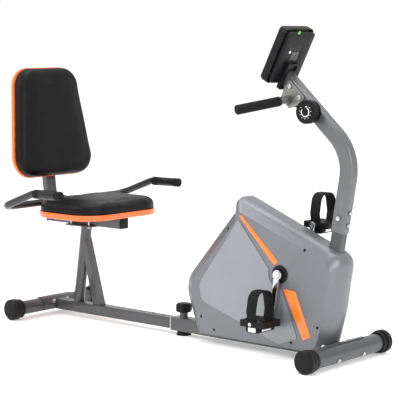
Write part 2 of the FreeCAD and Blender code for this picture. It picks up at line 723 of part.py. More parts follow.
def post_bolts():
    """Bolts that clamp the post to the upright: two from the front, one from the side."""
    bolts = []
    for tag, height in (("low", POST_BOLT_LOW), ("high", POST_BOLT_HIGH)):
        centre = post_x(height)
        reach = "(post_depth / 2 / cos(post_lean * 1 deg) + 0.4)"
        shank = rod("post_bolt_" + tag, "bolt_dia / 2", reach + " - 2",
                    ("%s + 4" % centre, "0", height), "x")
        head = rod("post_bolt_head_" + tag, "bolt_dia * 0.9", "6",
                   ("%s + %s + 1" % (centre, reach), "0", height), "x")
        bolts.append(fuse("post_bolt_whole_" + tag, shank, head))
    height = POST_BOLT_SIDE
    shank = rod("post_bolt_side", "bolt_dia / 2", "post_width + 6",
                (post_x(height), "-post_width / 2 - 3", height), "y")
    heads = [rod("post_bolt_head_side" + tag, "bolt_dia * 0.9", "5",
                 (post_x(height), at, height), "y")
             for tag, at in (("a", "-post_width / 2 - 5.3"), ("b", "post_width / 2 + 0.3"))]
    bolts.append(fuse("post_bolt_whole_side", shank, *heads))
    return keep(group("post_bolts", *(bolts + clamp_bolts())), "post_bolts")


# ---------------------------------------------------------------------------
# Bent round tubes
# ---------------------------------------------------------------------------
def run_of(points, radius):
    """Wire of straight runs joined by tangent arcs of one radius."""
    spots = [FreeCAD.Vector(*[value_of(text) for text in point]) for point in points]
    edges = []
    here = spots[0]
    for index in range(1, len(spots) - 1):
        first, second, middle = corner_data(spots, [value_of(radius)] * len(spots), index)
        toward = (spots[index] - middle).normalize()
        top = middle + toward * first.distanceToPoint(middle)
        edges.append(Part.LineSegment(here, first).toShape())
        edges.append(Part.Arc(first, top, second).toShape())
        here = second
    edges.append(Part.LineSegment(here, spots[-1]).toShape())
    return Part.Wire(edges)


def swept(points, bend, outer, inner=None):
    """Round tube or rod swept along a bent run of points."""
    wire = run_of(points, bend)
    start = wire.Edges[0].valueAt(wire.Edges[0].FirstParameter)
    along = wire.Edges[0].tangentAt(wire.Edges[0].FirstParameter)

    def skin(radius):
        hoop = Part.Wire([Part.Circle(start, along, radius).toShape()])
        return wire.makePipeShell([hoop], True, False)
    solid = skin(value_of(outer))
    if inner is not None:
        solid = solid.cut(skin(value_of(inner)))
    return solid


def computed(label, shape):
    item = add("Part::Feature", label)
    item.Shape = shape
    return item


def cut_at(points, bend, first, second, outer, inner):
    """Stretch of sleeve on a straight run, between two distances from its start."""
    a = FreeCAD.Vector(*[value_of(text) for text in points[0]])
    b = FreeCAD.Vector(*[value_of(text) for text in points[1]])
    along = (b - a).normalize()
    start = a + along * value_of(first)
    length = value_of(second) - value_of(first)
    solid = Part.makeCylinder(value_of(outer), length, start, along)
    return solid.cut(Part.makeCylinder(value_of(inner), length, start, along))


# ---------------------------------------------------------------------------
# Housing round the drive
# ---------------------------------------------------------------------------
# Side outlines as (X, Z, corner radius), clockwise from the bottom rear corner.
NOSE = [(-572, 28, 12), (-632, 200, 90), (-416, 458, 25), (-412, 514, 14),
        (14, 346, 45), (-12, 165, 200), (-50, 27, 55)]
SHOULDER = [(-572, 28, 12), (-632, 200, 90), (-416, 455, 25), (-408, 504, 14),
            (4, 340, 45), (-22, 165, 200), (-58, 27, 55)]
FACE = [(-545, 34, 10), (-598, 196, 70), (-398, 432, 20), (-394, 466, 12),
        (-10, 320, 40), (-38, 165, 150), (-72, 34, 45)]
PANEL = [(-553, 205, 45), (-543, 148, 30), (-215, 42, 20), (-140, 70, 10),
         (-208, 230, 10), (-262, 290, 8), (-386, 436, 5)]
UPPER_STRIPE = [(-382, 448, 1), (-236, 300, 2), (-220, 312, 2), (-372, 452, 1)]
LOWER_STRIPE = [(-198, 226, 2), (-116, 67, 2), (-88, 83, 2), (-150, 222, 2)]
# X and Z of each screw, and how far out its boss reaches to meet the housing's wall
SHELL_SCREWS = [(-433, 401, 56), (-116, 360, 60), (-545, 92, 64.5), (-488, 53, 64.5),
                (-165, 53, 64.5), (-62, 116, 64.5)]


def shell_points(table, inset="0"):
    """Corner formulas and radii of a table, moved inwards by inset."""
    spots = [FreeCAD.Vector(x, z, 0) for x, z, radius in table]
    points, radii = [], []
    for index, (x, z, radius) in enumerate(table):
        before = (spots[index] - spots[index - 1]).normalize()
        after = (spots[(index + 1) % len(spots)] - spots[index]).normalize()
        inward1 = FreeCAD.Vector(before.y, -before.x, 0)
        inward2 = FreeCAD.Vector(after.y, -after.x, 0)
        shift = (inward1 + inward2) * (1 / (1 + inward1.dot(inward2)))
        points.append(("%s + (%.6f) * (%s)" % (x, shift.x, inset),
                       "%s + (%.6f) * (%s)" % (z, shift.y, inset)))
        convex = before.x * after.y - before.y * after.x < 0
        radii.append("%s %s (%s)" % (radius, "-" if convex else "+", inset))
    return points, radii


def shell_half(label, side):
    """One half of the housing: side is -1 for the right half and 1 for the left."""
    body = new_body(label + "_body")

    def at(distance):
        return "%d * (%s)" % (-side, distance)

    def section(tag, table, distance, inset="0"):
        sketch = new_sketch(body, label + tag, "XZ_Plane", at(distance))
        points, radii = shell_points(table, inset)
        return outline(sketch, points, radii)

    left = side > 0
    pad(body, label + "_nose", section("_s0", NOSE, "shell_seam"),
        "nose_half - shell_seam", reverse=left)
    loft(body, label + "_bulge", [section("_s1", NOSE, "nose_half"),
                                  section("_s2", SHOULDER, "shoulder_half"),
                                  section("_s3", FACE, "face_half")])
    pad(body, label + "_panel", section("_s4", PANEL, "face_half"), "panel_raise", reverse=left)
    pocket(body, label + "_room", section("_s5", NOSE, "0", "shell_wall"),
           "nose_half", reverse=not left)
    loft(body, label + "_room_bulge",
         [section("_s6", NOSE, "nose_half", "shell_wall"),
          section("_s7", SHOULDER, "shoulder_half", "shell_wall"),
          section("_s8", FACE, "face_half - shell_wall", "shell_wall")], "SubtractiveLoft")
    shell_openings(body, label, side, at)
    return keep(body, label)


def shell_openings(body, label, side, at):
    left = side > 0
    away = not left
    for index, (x, z, reach) in enumerate(SHELL_SCREWS):
        boss = new_sketch(body, "%s_boss%d" % (label, index), "XZ_Plane", at("shell_seam"))
        circle(boss, str(x), str(z), "shell_screw_dia / 2 + boss_wall")
        pad(body, "%s_boss_pad%d" % (label, index), boss, "%s - shell_seam" % reach, reverse=left)
    beam = new_sketch(body, label + "_beam_slot", "XZ_Plane", "0")
    outline(beam, [("-sleeve_rear", "0"), ("100", "0"),
                   ("100", "%s + beam_slot_gap" % SLEEVE_TOP),
                   ("-sleeve_rear", "%s + beam_slot_gap" % SLEEVE_TOP)])
    pocket(body, label + "_beam_cut", beam, "sleeve_size / 2 + beam_slot_gap", reverse=away)
    neck = new_sketch(body, label + "_neck", "XZ_Plane", "0")
    half = "(upright_depth / 2 / cos(post_lean * 1 deg) + 1)"
    outline(neck, [("%s - %s" % (post_x("60"), half), "60"),
                   ("%s + %s" % (post_x("60"), half), "60"),
                   ("%s + %s" % (post_x("450"), half), "450"),
                   ("%s - %s" % (post_x("450"), half), "450")])
    pocket(body, label + "_neck_cut", neck, "upright_width / 2 + 1", reverse=away)
    hub = new_sketch(body, label + "_hub", "XZ_Plane", "0")
    circle(hub, "-crank_back", "crank_height", "ring_dia / 2 - 8")
    pocket(body, label + "_hub_cut", hub, "face_half + 10", reverse=away)
    seat = new_sketch(body, label + "_hub_seat", "XZ_Plane", at("face_half"))
    circle(seat, "-crank_back", "crank_height", "ring_dia / 2 + 16")
    pocket(body, label + "_hub_seat_cut", seat, "panel_raise + 1", reverse=away)
    recess = new_sketch(body, label + "_recess", "XZ_Plane", at("screw_floor"))
    for x, z, reach in SHELL_SCREWS:
        circle(recess, str(x), str(z), "shell_screw_dia / 2 + 0.4")
    pocket(body, label + "_recess_cut", recess, "60", reverse=away)


def shell_screws():
    """Pan-head screws at the bottom of the housing's recesses, both sides."""
    screws = []
    for side in (-1, 1):
        for index, (x, z, reach) in enumerate(SHELL_SCREWS):
            start = "screw_floor" if side > 0 else "-screw_floor - 3.5"
            screws.append(rod("shell_screw_%d_%d" % (side + 1, index), "shell_screw_dia / 2",
                              "3.5", (str(x), start, str(z)), "y"))
    return keep(group("shell_screws", *screws), "shell_screws")


def housing_trim():
    """Two tapering stripes on the flat face of each housing half."""
    stripes = []
    for side in (-1, 1):
        for tag, table in (("upper", UPPER_STRIPE), ("lower", LOWER_STRIPE)):
            name = "trim_%s_%d" % (tag, side + 1)
            body = new_body(name)
            sketch = new_sketch(body, name + "_outline", "XZ_Plane", "%d * face_half" % -side)
            points, radii = shell_points(table)
            outline(sketch, points, radii)
            pad(body, name + "_pad", sketch, "trim_thick", reverse=side > 0)
            stripes.append(body)
    return keep(group("housing_trim", *stripes), "housing_trim")


# ---------------------------------------------------------------------------
# Crank, belt drive and flywheel
# ---------------------------------------------------------------------------
CRANK = ("-crank_back", "crank_height")
WHEEL = ("-flywheel_back", "flywheel_height")


def disc_y(name, radius, start, stop, centre):
    return rod(name, radius, "(%s) - (%s)" % (stop, start), (centre[0], start, centre[1]), "y")


def ring_y(name, outer, inner, start, stop, centre):
    solid = disc_y(name + "_full", outer, start, stop, centre)
    hole = disc_y(name + "_hole", inner, "(%s) - 1" % start, "(%s) + 1" % stop, centre)
    return cut(name, solid, hole)


def bearings():
    """Crank bearings pressed into the crank shell, and axle bearings in the forks."""
    rings = []
    for tag, start in (("a", "-bracket_shell_half"), ("b", "bracket_shell_half - bearing_width")):
        rings.append(ring_y("crank_bearing_" + tag, "bracket_shell_dia / 2 - 3.5",
                            "axle_dia / 2 + 0.03", start, start + " + bearing_width", CRANK))
    for tag, start in (("a", "-fork_half - fork_plate"), ("b", "fork_half")):
        rings.append(ring_y("wheel_bearing_" + tag, "fork_bearing_dia / 2",
                            "flywheel_axle_dia / 2 + 0.03", start, start + " + fork_plate", WHEEL))
    return keep(group("bearings", *rings), "bearings")


def crank_rings():
    """Round collars that finish the housing's crank holes."""
    rings = []
    for tag, side in (("right", -1), ("left", 1)):
        inner, outer = "face_half + 0.1", "face_half + ring_thick"
        start = inner if side > 0 else "-(%s)" % outer
        stop = outer if side > 0 else "-(%s)" % inner
        flange = disc_y("ring_flange_" + tag, "ring_dia / 2", start, stop, CRANK)
        neck_in = "face_half - shell_wall - 3"
        start2 = neck_in if side > 0 else "-(%s + 0.2)" % inner
        stop2 = inner + " + 0.2" if side > 0 else "-(%s)" % neck_in
        neck = disc_y("ring_neck_" + tag, "ring_dia / 2 - 8.4", start2, stop2, CRANK)
        hole = disc_y("ring_hole_" + tag, "crank_boss_dia / 2 + 0.6", "-100", "100", CRANK)
        rings.append(cut("ring_" + tag, fuse("ring_solid_" + tag, flange, neck), hole))
    return keep(group("crank_rings", *rings), "crank_rings")


def crank_axle():
    """Axle through the crank shell, with a flange for the drive pulley."""
    end = "(crank_arm_inner + crank_arm_thick)"
    shaft = disc_y("axle_shaft", "axle_dia / 2", "-" + end, end, CRANK)
    flange = disc_y("axle_flange", "26", "pulley_side - 5", "pulley_side", CRANK)
    return keep(fuse("crank_axle", shaft, flange), "crank_axle")


def drive_pulley():
    """Large flat-belt pulley with six lightening holes."""
    body = new_body("drive_pulley_body")
    sketch = new_sketch(body, "pulley_section", "XZ_Plane", "-pulley_side")
    circle(sketch, CRANK[0], CRANK[1], "drive_pulley_dia / 2")
    circle(sketch, CRANK[0], CRANK[1], "axle_dia / 2")
    pad(body, "pulley_disc", sketch, "pulley_width", reverse=True)
    for tag, offset, way in (("a", "-pulley_side", False), ("b", "-pulley_side - pulley_width",
                                                           True)):
        dish = new_sketch(body, "pulley_dish_" + tag, "XZ_Plane", offset)
        circle(dish, CRANK[0], CRANK[1], "drive_pulley_dia / 2 - 8")
        circle(dish, CRANK[0], CRANK[1], "30")
        pocket(body, "pulley_dish_cut_" + tag, dish, "pulley_width / 2 - 2", reverse=way)
    holes = new_sketch(body, "pulley_windows", "XZ_Plane", "-pulley_side")
    for index in range(6):
        circle(holes, "%s + 66 * cos(%d deg)" % (CRANK[0], index * 60),
               "%s + 66 * sin(%d deg)" % (CRANK[1], index * 60), "20")
    pocket(body, "pulley_window_cut", holes, "100", both=True)
    return keep(body, "drive_pulley")


def crank_arm(label, side):
    """Crank arm with a round boss on the axle and a threaded eye for the pedal."""
    body = new_body(label + "_body")
    start = "%d * crank_arm_inner" % -side
    reverse = side > 0
    ex, ez = pedal_centre(side)
    lean = "sin(crank_tilt * 1 deg)"
    across = "cos(crank_tilt * 1 deg)"
    shape = new_sketch(body, label + "_blade", "XZ_Plane", start)
    wide, slim = "crank_arm_width / 2", "(crank_arm_width / 2 - 2)"
    outline(shape, [
        ("%s - %s * %s" % (CRANK[0], wide, across), "%s + %s * %s" % (CRANK[1], wide, lean)),
        ("%s + %s * %s" % (CRANK[0], wide, across), "%s - %s * %s" % (CRANK[1], wide, lean)),
        ("%s + %s * %s" % (ex, slim, across), "%s - %s * %s" % (ez, slim, lean)),
        ("%s - %s * %s" % (ex, slim, across), "%s + %s * %s" % (ez, slim, lean))])
    pad(body, label + "_blade_pad", shape, "crank_arm_thick", reverse=reverse)
    boss = new_sketch(body, label + "_boss", "XZ_Plane", "%d * (face_half + ring_thick / 2)" % -side)
    circle(boss, CRANK[0], CRANK[1], "crank_boss_dia / 2")
    pad(body, label + "_boss_pad", boss,
        "crank_arm_inner + crank_arm_thick - face_half - ring_thick / 2", reverse=reverse)
    eye = new_sketch(body, label + "_eye", "XZ_Plane", start)
    circle(eye, ex, ez, "crank_arm_width / 2 + 1")
    pad(body, label + "_eye_pad", eye, "crank_arm_thick", reverse=reverse)
    bore = new_sketch(body, label + "_bore", "XZ_Plane", "0")
    circle(bore, CRANK[0], CRANK[1], "axle_dia / 2")
    circle(bore, ex, ez, "spindle_dia / 2")
    pocket(body, label + "_bore_cut", bore, "200", both=True)
    return keep(body, label)


def pedal_centre(side):
    """Pedal axis; the left crank points up when the right one points down."""
    return ("(-crank_back + %d * crank_length * sin(crank_tilt * 1 deg))" % side,
            "(crank_height + %d * crank_length * cos(crank_tilt * 1 deg))" % side)


def pedal_spindles():
    """Threaded pedal spindles screwed into the crank eyes."""
    items = []
    for side in (-1, 1):
        centre = pedal_centre(side)
        inner, outer = "crank_arm_inner", "crank_arm_inner + spindle_length"
        start = inner if side > 0 else "-(%s)" % outer
        stop = outer if side > 0 else "-%s" % inner
        shaft = disc_y("spindle_%d" % (side + 1), "spindle_dia / 2", start, stop, centre)
        face = "crank_arm_inner + crank_arm_thick"
        start2 = face if side > 0 else "-(%s + 3)" % face
        stop2 = face + " + 3" if side > 0 else "-(%s)" % face
        flange = disc_y("spindle_nut_%d" % (side + 1), "spindle_dia / 2 + 3", start2, stop2,
                        centre)
        items.append(fuse("spindle_whole_%d" % (side + 1), shaft, flange))
    return items


def crank_hardware():
    """Pedal spindles, and the push-in caps over the crank bolts."""
    items = pedal_spindles()
    for side in (-1, 1):
        face = "(crank_arm_inner + crank_arm_thick)"
        start = face if side > 0 else "-(%s + 3)" % face
        stop = face + " + 3" if side > 0 else "-%s" % face
        items.append(disc_y("crank_cap_%d" % (side + 1), "axle_dia / 2 + 3", start, stop, CRANK))
    return keep(group("crank_hardware", *items), "crank_hardware")


def pedal(label, side):
    """Open-frame pedal platform with a deep, weighted underside."""
    cx, cz = pedal_centre(side)
    inner = "(crank_arm_inner + crank_arm_thick + pedal_gap)"
    low = inner if side > 0 else "-(%s + pedal_width)" % inner
    plate = block(label + "_plate", ("pedal_length", "pedal_width", "pedal_above + 11"),
                  ("%s - pedal_length / 2" % cx, low, "%s - 11" % cz))
    doc.recompute()
    plate = rounded(label + "_plate_round", plate, "9", runs_along("z"))
    keel = block(label + "_keel", ("pedal_length - 50", "pedal_width - 10", "pedal_below - 8"),
                 ("%s - pedal_length / 2 + 25" % cx, low + " + 5", "%s - pedal_below" % cz))
    doc.recompute()
    floor = value_of("%s - pedal_below" % cz)
    keel = rounded(label + "_keel_round", keel, "8",
                   lambda edge: runs_along("y")(edge) and edge.CenterOfMass.z < floor + 1)
    windows = []
    for tag, x in (("a", "%s - pedal_length / 2 + 9" % cx), ("b", "%s + pedal_length / 2 - 23" % cx)):
        windows.append(block(label + "_window" + tag, ("14", "pedal_width - 26", "60"),
                             (x, low + " + 13", "%s - 30" % cz)))
    bore = disc_y(label + "_bore", "spindle_dia / 2 + 0.06",
                  low + " - 1", low + " + pedal_width + 1", (cx, cz))
    slots = []
    for tag, at in (("a", low + " + 3.5"), ("b", low + " + pedal_width - 3.5 - strap_slot")):
        slots.append(block(label + "_slot" + tag, ("strap_width + 2", "strap_slot", "60"),
                           ("%s - strap_width / 2 - 1" % cx, at, "%s - 30" % cz)))
    return keep(cut(label, fuse(label + "_solid", plate, keel), bore, *(windows + slots)), label)


def pedal_strap(label, side):
    """Arched strap over the foot, held in a slot at each side of the pedal."""
    cx, cz = pedal_centre(side)
    inner = "(crank_arm_inner + crank_arm_thick + pedal_gap)"
    middle = "%d * (%s + pedal_width / 2)" % (side, inner)
    half = "(pedal_width / 2 - 3.5 - strap_slot / 2)"
    body = new_body(label + "_body")
    arch = new_sketch(body, label + "_arch", "YZ_Plane", "%s - strap_width / 2" % cx)
    base, top = "%s + spindle_dia / 2 + 0.6" % cz, "%s + strap_height" % cz
    outer = "(%s + strap_thick / 2)" % half
    inner_half = "(%s - strap_thick / 2)" % half
    bulge = "strap_bulge"
    low = "%s + pedal_above" % cz
    points = [("%s - %s" % (middle, outer), base), ("%s - %s" % (middle, outer), low),
              ("%s - %s - %s" % (middle, outer, bulge), "%s + 28" % low),
              ("%s - %s + 6" % (middle, outer), top), ("%s + %s - 6" % (middle, outer), top),
              ("%s + %s + %s" % (middle, outer, bulge), "%s + 28" % low),
              ("%s + %s" % (middle, outer), low), ("%s + %s" % (middle, outer), base),
              ("%s + %s" % (middle, inner_half), base), ("%s + %s" % (middle, inner_half), low),
              ("%s + %s + %s" % (middle, inner_half, bulge), "%s + 28" % low),
              ("%s + %s - 7" % (middle, inner_half), "%s - strap_thick" % top),
              ("%s - %s + 7" % (middle, inner_half), "%s - strap_thick" % top),
              ("%s - %s - %s" % (middle, inner_half, bulge), "%s + 28" % low),
              ("%s - %s" % (middle, inner_half), low), ("%s - %s" % (middle, inner_half), base)]
    radii = ["0", "20", "30", "34", "34", "30", "20", "0",
             "0", "20", "30 - strap_thick", "34 - strap_thick", "34 - strap_thick",
             "30 - strap_thick", "20", "0"]
    outline(arch, points, radii)
    pad(body, label + "_pad", arch, "strap_width")
    return keep(body, label)


def flywheel():
    """Heavy flywheel with a thin web and a hub, fixed on its own axle."""
    body = new_body("flywheel_body")
    sketch = new_sketch(body, "flywheel_section", "XZ_Plane", "0")
    circle(sketch, WHEEL[0], WHEEL[1], "flywheel_dia / 2")
    circle(sketch, WHEEL[0], WHEEL[1], "flywheel_axle_dia / 2")
    pad(body, "flywheel_rim", sketch, "flywheel_width", both=True)
    for tag, sign in (("a", ""), ("b", "-")):
        dish = new_sketch(body, "flywheel_dish_" + tag, "XZ_Plane", sign + "flywheel_width / 2")
        circle(dish, WHEEL[0], WHEEL[1], "flywheel_dia / 2 - 16")
        circle(dish, WHEEL[0], WHEEL[1], "24")
        pocket(body, "flywheel_dish_cut_" + tag, dish, "flywheel_width / 2 - 4",
               reverse=sign == "-")
    return keep(body, "flywheel")


def flywheel_axle():
    """Flywheel axle with the small belt pulley at its left end."""
    reach = "(fork_half + fork_plate + 3)"
    shaft = disc_y("wheel_shaft", "flywheel_axle_dia / 2", "-" + reach,
                   "pulley_side + pulley_width", WHEEL)
    hub = disc_y("wheel_pulley", "small_pulley_dia / 2", "pulley_side", "pulley_side + pulley_width",
                 WHEEL)
    return keep(fuse("flywheel_axle", shaft, hub), "flywheel_axle")


def belt():
    """Drive belt round the large and the small pulley."""
    body = new_body("belt_body")
    centre = "pulley_side + (pulley_width - belt_width) / 2"

    def loop(tag, kind, extra):
        sketch = new_sketch(body, "belt_" + tag, "XZ_Plane", "-(%s)" % centre)
        belt_loop(sketch, extra)
        kind(body, "belt_%s_feature" % tag, sketch, "belt_width", reverse=kind is pad)
    loop("outer", pad, "belt_gap + belt_thick")
    loop("inner", pocket, "belt_gap")
    return keep(body, "belt")


def belt_loop(sketch, extra):
    """Closed loop of two arcs and their common outer tangents."""
    big = value_of("drive_pulley_dia / 2 + " + extra)
    small = value_of("small_pulley_dia / 2 + " + extra)
    a = FreeCAD.Vector(value_of(CRANK[0]), value_of(CRANK[1]), 0)
    b = FreeCAD.Vector(value_of(WHEEL[0]), value_of(WHEEL[1]), 0)
    between = b - a
    base = math.atan2(between.y, between.x)
    spread = math.acos((big - small) / between.Length)
    up = FreeCAD.Vector(0, 0, 1)

    def on(centre, radius, angle):
        return centre + FreeCAD.Vector(math.cos(angle), math.sin(angle), 0) * radius
    first, second = base + spread, base - spread
    big_arc = sketch.addGeometry(
        Part.ArcOfCircle(Part.Circle(a, up, big), first, second + 2 * math.pi), False)
    small_arc = sketch.addGeometry(
        Part.ArcOfCircle(Part.Circle(b, up, small), second, first), False)
    low = sketch.addGeometry(Part.LineSegment(on(a, big, second), on(b, small, second)), False)
    top = sketch.addGeometry(Part.LineSegment(on(b, small, first), on(a, big, first)), False)
    for line_a, end_a, line_b, end_b in ((big_arc, 2, low, 1), (low, 2, small_arc, 1),
                                         (small_arc, 2, top, 1), (top, 2, big_arc, 1)):
        sketch.addConstraint(Sketcher.Constraint("Tangent", line_a, end_a, line_b, end_b))
    fix_point(sketch, big_arc, 3, *CRANK)
    fix_point(sketch, small_arc, 3, *WHEEL)
    for arc, size in ((big_arc, "drive_pulley_dia / 2 + "), (small_arc, "small_pulley_dia / 2 + ")):
        index = sketch.addConstraint(Sketcher.Constraint("Radius", arc, value_of(size + extra)))
        sketch.setExpression("Constraints[%d]" % index, bound(size + extra))


PIVOT = ("(-flywheel_back + pivot_ahead)", "pivot_height")


def magnet_bracket():
    """Curved brake bracket over the top of the flywheel, with magnet pads on its inside."""
    inner = "(flywheel_dia / 2 + magnet_gap)"
    body = new_body("magnet_bracket_body")
    sketch = new_sketch(body, "magnet_arc", "XZ_Plane", "0")
    arc_band(sketch, WHEEL, inner, inner + " + 6", 50, 128)
    pad(body, "magnet_band", sketch, "magnet_width", both=True)
    lug = new_sketch(body, "magnet_lug", "XZ_Plane", "0")
    circle(lug, PIVOT[0], PIVOT[1], "pivot_dia / 2 + 9")
    pad(body, "magnet_lug_pad", lug, "magnet_width", both=True)
    hole = new_sketch(body, "magnet_hole", "XZ_Plane", "0")
    circle(hole, PIVOT[0], PIVOT[1], "pivot_dia / 2 + 0.05")
    pocket(body, "magnet_hole_cut", hole, "200", both=True)
    return keep(body, "magnet_bracket")


def arc_band(sketch, centre, inner, outer, start, stop):
    """Closed band between two arcs about a centre, from start to stop degrees."""
    a1, a2 = math.radians(start), math.radians(stop)
    middle = FreeCAD.Vector(value_of(centre[0]), value_of(centre[1]), 0)
    up = FreeCAD.Vector(0, 0, 1)
    arcs = []
    for text in (inner, outer):
        arc = sketch.addGeometry(
            Part.ArcOfCircle(Part.Circle(middle, up, value_of(text)), a1, a2), False)
        fix_point(sketch, arc, 3, *centre)
        index = sketch.addConstraint(Sketcher.Constraint("Radius", arc, value_of(text)))
        sketch.setExpression("Constraints[%d]" % index, bound(text))
        arcs.append(arc)
    for position in (1, 2):
        ends = [sketch.getPoint(arc, position) for arc in arcs]
        line = sketch.addGeometry(Part.LineSegment(*ends), False)
        sketch.addConstraint(Sketcher.Constraint("Coincident", line, 1, arcs[0], position))
        sketch.addConstraint(Sketcher.Constraint("Coincident", line, 2, arcs[1], position))
        mark = "%s + (%s) * cos(%d deg)" % (centre[0], inner, (start, stop)[position - 1])
        fix = "%s + (%s) * sin(%d deg)" % (centre[1], inner, (start, stop)[position - 1])
        index = sketch.addConstraint(Sketcher.Constraint(
            "DistanceX", -1, 1, arcs[0], position, value_of(mark)))
        sketch.setExpression("Constraints[%d]" % index, bound(mark))
        mark = "%s + (%s) * cos(%d deg)" % (centre[0], outer, (start, stop)[position - 1])
        index = sketch.addConstraint(Sketcher.Constraint(
            "DistanceX", -1, 1, arcs[1], position, value_of(mark)))
        sketch.setExpression("Constraints[%d]" % index, bound(mark))


def idler():
    """Belt tensioner wheel against the outside of the lower belt run."""
    centre = idler_centre()
    return keep(ring_y("idler_wheel", "idler_dia / 2", "idler_pin_dia / 2 + 0.05",
                       "pulley_side", "pulley_side + pulley_width", centre), "idler_wheel")


def idler_centre():
    """Middle of the lower belt run, stood off by the idler's radius."""
    big = value_of("drive_pulley_dia / 2 + belt_gap + belt_thick")
    small = value_of("small_pulley_dia / 2 + belt_gap + belt_thick")
    a = FreeCAD.Vector(value_of(CRANK[0]), value_of(CRANK[1]), 0)
    b = FreeCAD.Vector(value_of(WHEEL[0]), value_of(WHEEL[1]), 0)
    between = b - a
    angle = math.atan2(between.y, between.x) + math.acos((big - small) / between.Length)
    out = FreeCAD.Vector(math.cos(angle), math.sin(angle), 0)
    spot = (a + out * big + b + out * small) * 0.5
    spot = spot + out * (value_of("idler_dia / 2") + 0.3)
    return "%.6f" % spot.x, "%.6f" % spot.y


def idler_arm():
    """Arm and pin that carry the idler wheel, bolted to the fork."""
    centre = idler_centre()
    pin = disc_y("idler_pin", "idler_pin_dia / 2", "fork_half + fork_plate",
                 "pulley_side + pulley_width + 1", centre)
    start = "fork_half + fork_plate"
    eye = disc_y("idler_eye", "idler_dia / 2 - 3", start, start + " + 5", centre)
    foot = block("idler_foot", ("%s + flywheel_back + 10" % centre[0], "5", "16"),
                 ("-flywheel_back - 10", start, "%s - 8" % centre[1]))
    return keep(fuse("idler_arm", pin, eye, foot), "idler_arm")


# ---------------------------------------------------------------------------
# Console, in its own directions: X up its face, Y across, Z towards the rider
# ---------------------------------------------------------------------------
CONSOLE_TURN = FreeCAD.Rotation(FreeCAD.Vector(0, -1, 0), 60)


def keep_console(item, label):
    """Register a console piece, drawn from the arm's end in the console's directions."""
    item.Placement.Rotation = CONSOLE_TURN
    keep(item, label)
    tie(item, "Placement.Rotation.Angle", "console_tilt * 1 deg")
    tie(item, "Placement.Base.x", "%s + %s" % (SHIFT, ARM_END[0]))
    tie(item, "Placement.Base.z", ARM_END[1])
    return item


def console_case(label, low, high, shrink, open_side, round_size):
    """Hollow half of the console case between two depths; open_side is low or high."""
    body = new_body(label + "_body")
    middle = "(console_height / 2 - console_drop)"
    outer = new_sketch(body, label + "_outline", "XY_Plane", low)
    rectangle(outer, middle, "0", "console_height - %s" % shrink, "console_width - %s" % shrink,
              round_size)
    pad(body, label + "_pad", outer, "(%s) - (%s)" % (high, low))
    start = low if open_side == "low" else high
    inner = new_sketch(body, label + "_room", "XY_Plane", start)
    rectangle(inner, middle, "0", "console_height - %s - 2 * console_wall" % shrink,
              "console_width - %s - 2 * console_wall" % shrink,
              "%s - console_wall" % round_size)
    pocket(body, label + "_room_cut", inner, "(%s) - (%s) - console_wall" % (high, low),
           reverse=open_side == "low")
    return body, middle


BACK_LOW = "mount_thick"
BACK_HIGH = "(mount_thick + console_back)"
FRONT_HIGH = "(mount_thick + console_back + console_front)"
SCREEN_UP = "(console_height - console_drop - 62)"
BUTTON_UP = "(34 - console_drop)"


def console_back():
    body, middle = console_case("console_back", BACK_LOW, BACK_HIGH, "14", "high", "12")
    door = new_sketch(body, "door_opening", "XY_Plane", BACK_LOW)
    rectangle(door, "mount_height - mount_drop + 8 + door_height / 2", "0", "door_height",
              "door_width", "2")
    pocket(body, "door_opening_cut", door, "console_wall + 1", reverse=True)
    return keep_console(body, "console_back")


def battery_door():
    body = new_body("battery_door_body")
    sketch = new_sketch(body, "door_outline", "XY_Plane", "%s - 0.8" % BACK_LOW)
    rectangle(sketch, "mount_height - mount_drop + 8 + door_height / 2", "0",
              "door_height - 0.6", "door_width - 0.6", "1.7")
    pad(body, "door_pad", sketch, "console_wall + 0.8")
    for index in range(3):
        rib = new_sketch(body, "door_rib_%d" % index, "XY_Plane", "%s - 0.8" % BACK_LOW)
        rectangle(rib, "mount_height - mount_drop + 14 + %d" % (index * 5), "0", "2", "16", "0.8")
        pocket(body, "door_rib_cut_%d" % index, rib, "0.8", reverse=True)
    return keep_console(body, "battery_door")


def console_front():
    body, middle = console_case("console_front", BACK_HIGH + " + 0.1", FRONT_HIGH, "0", "low",
                                "16")
    doc.recompute()
    top = value_of(FRONT_HIGH)
    edges = ["Edge%d" % (i + 1) for i, edge in enumerate(body.Shape.Edges)
             if all(abs(vertex.Z - top) < 1e-6 for vertex in edge.Vertexes)]
    solid = body.Tip
    bevel = body.newObject("PartDesign::Chamfer", "console_bevel")
    bevel.Base = (solid, edges)
    tie(bevel, "Size", "console_bevel_size")
    body.Tip = bevel
    doc.recompute()
    screen = new_sketch(body, "screen_opening", "XY_Plane", FRONT_HIGH)
    rectangle(screen, SCREEN_UP, "0", "screen_height", "screen_width", "4")
    pocket(body, "screen_cut", screen, "console_wall + 4")
    button = new_sketch(body, "button_opening", "XY_Plane", FRONT_HIGH)
    circle(button, BUTTON_UP, "0", "button_dia / 2")
    pocket(body, "button_cut", button, "console_wall + 4")
    return keep_console(body, "console_front")


def console_lens():
    body = new_body("console_lens_body")
    sketch = new_sketch(body, "lens_outline", "XY_Plane", "%s - console_wall" % FRONT_HIGH)
    rectangle(sketch, SCREEN_UP, "0", "screen_height - 0.6", "screen_width - 0.6", "3.7")
    pad(body, "lens_pad", sketch, "console_wall - 0.8")
    return keep_console(body, "console_lens")


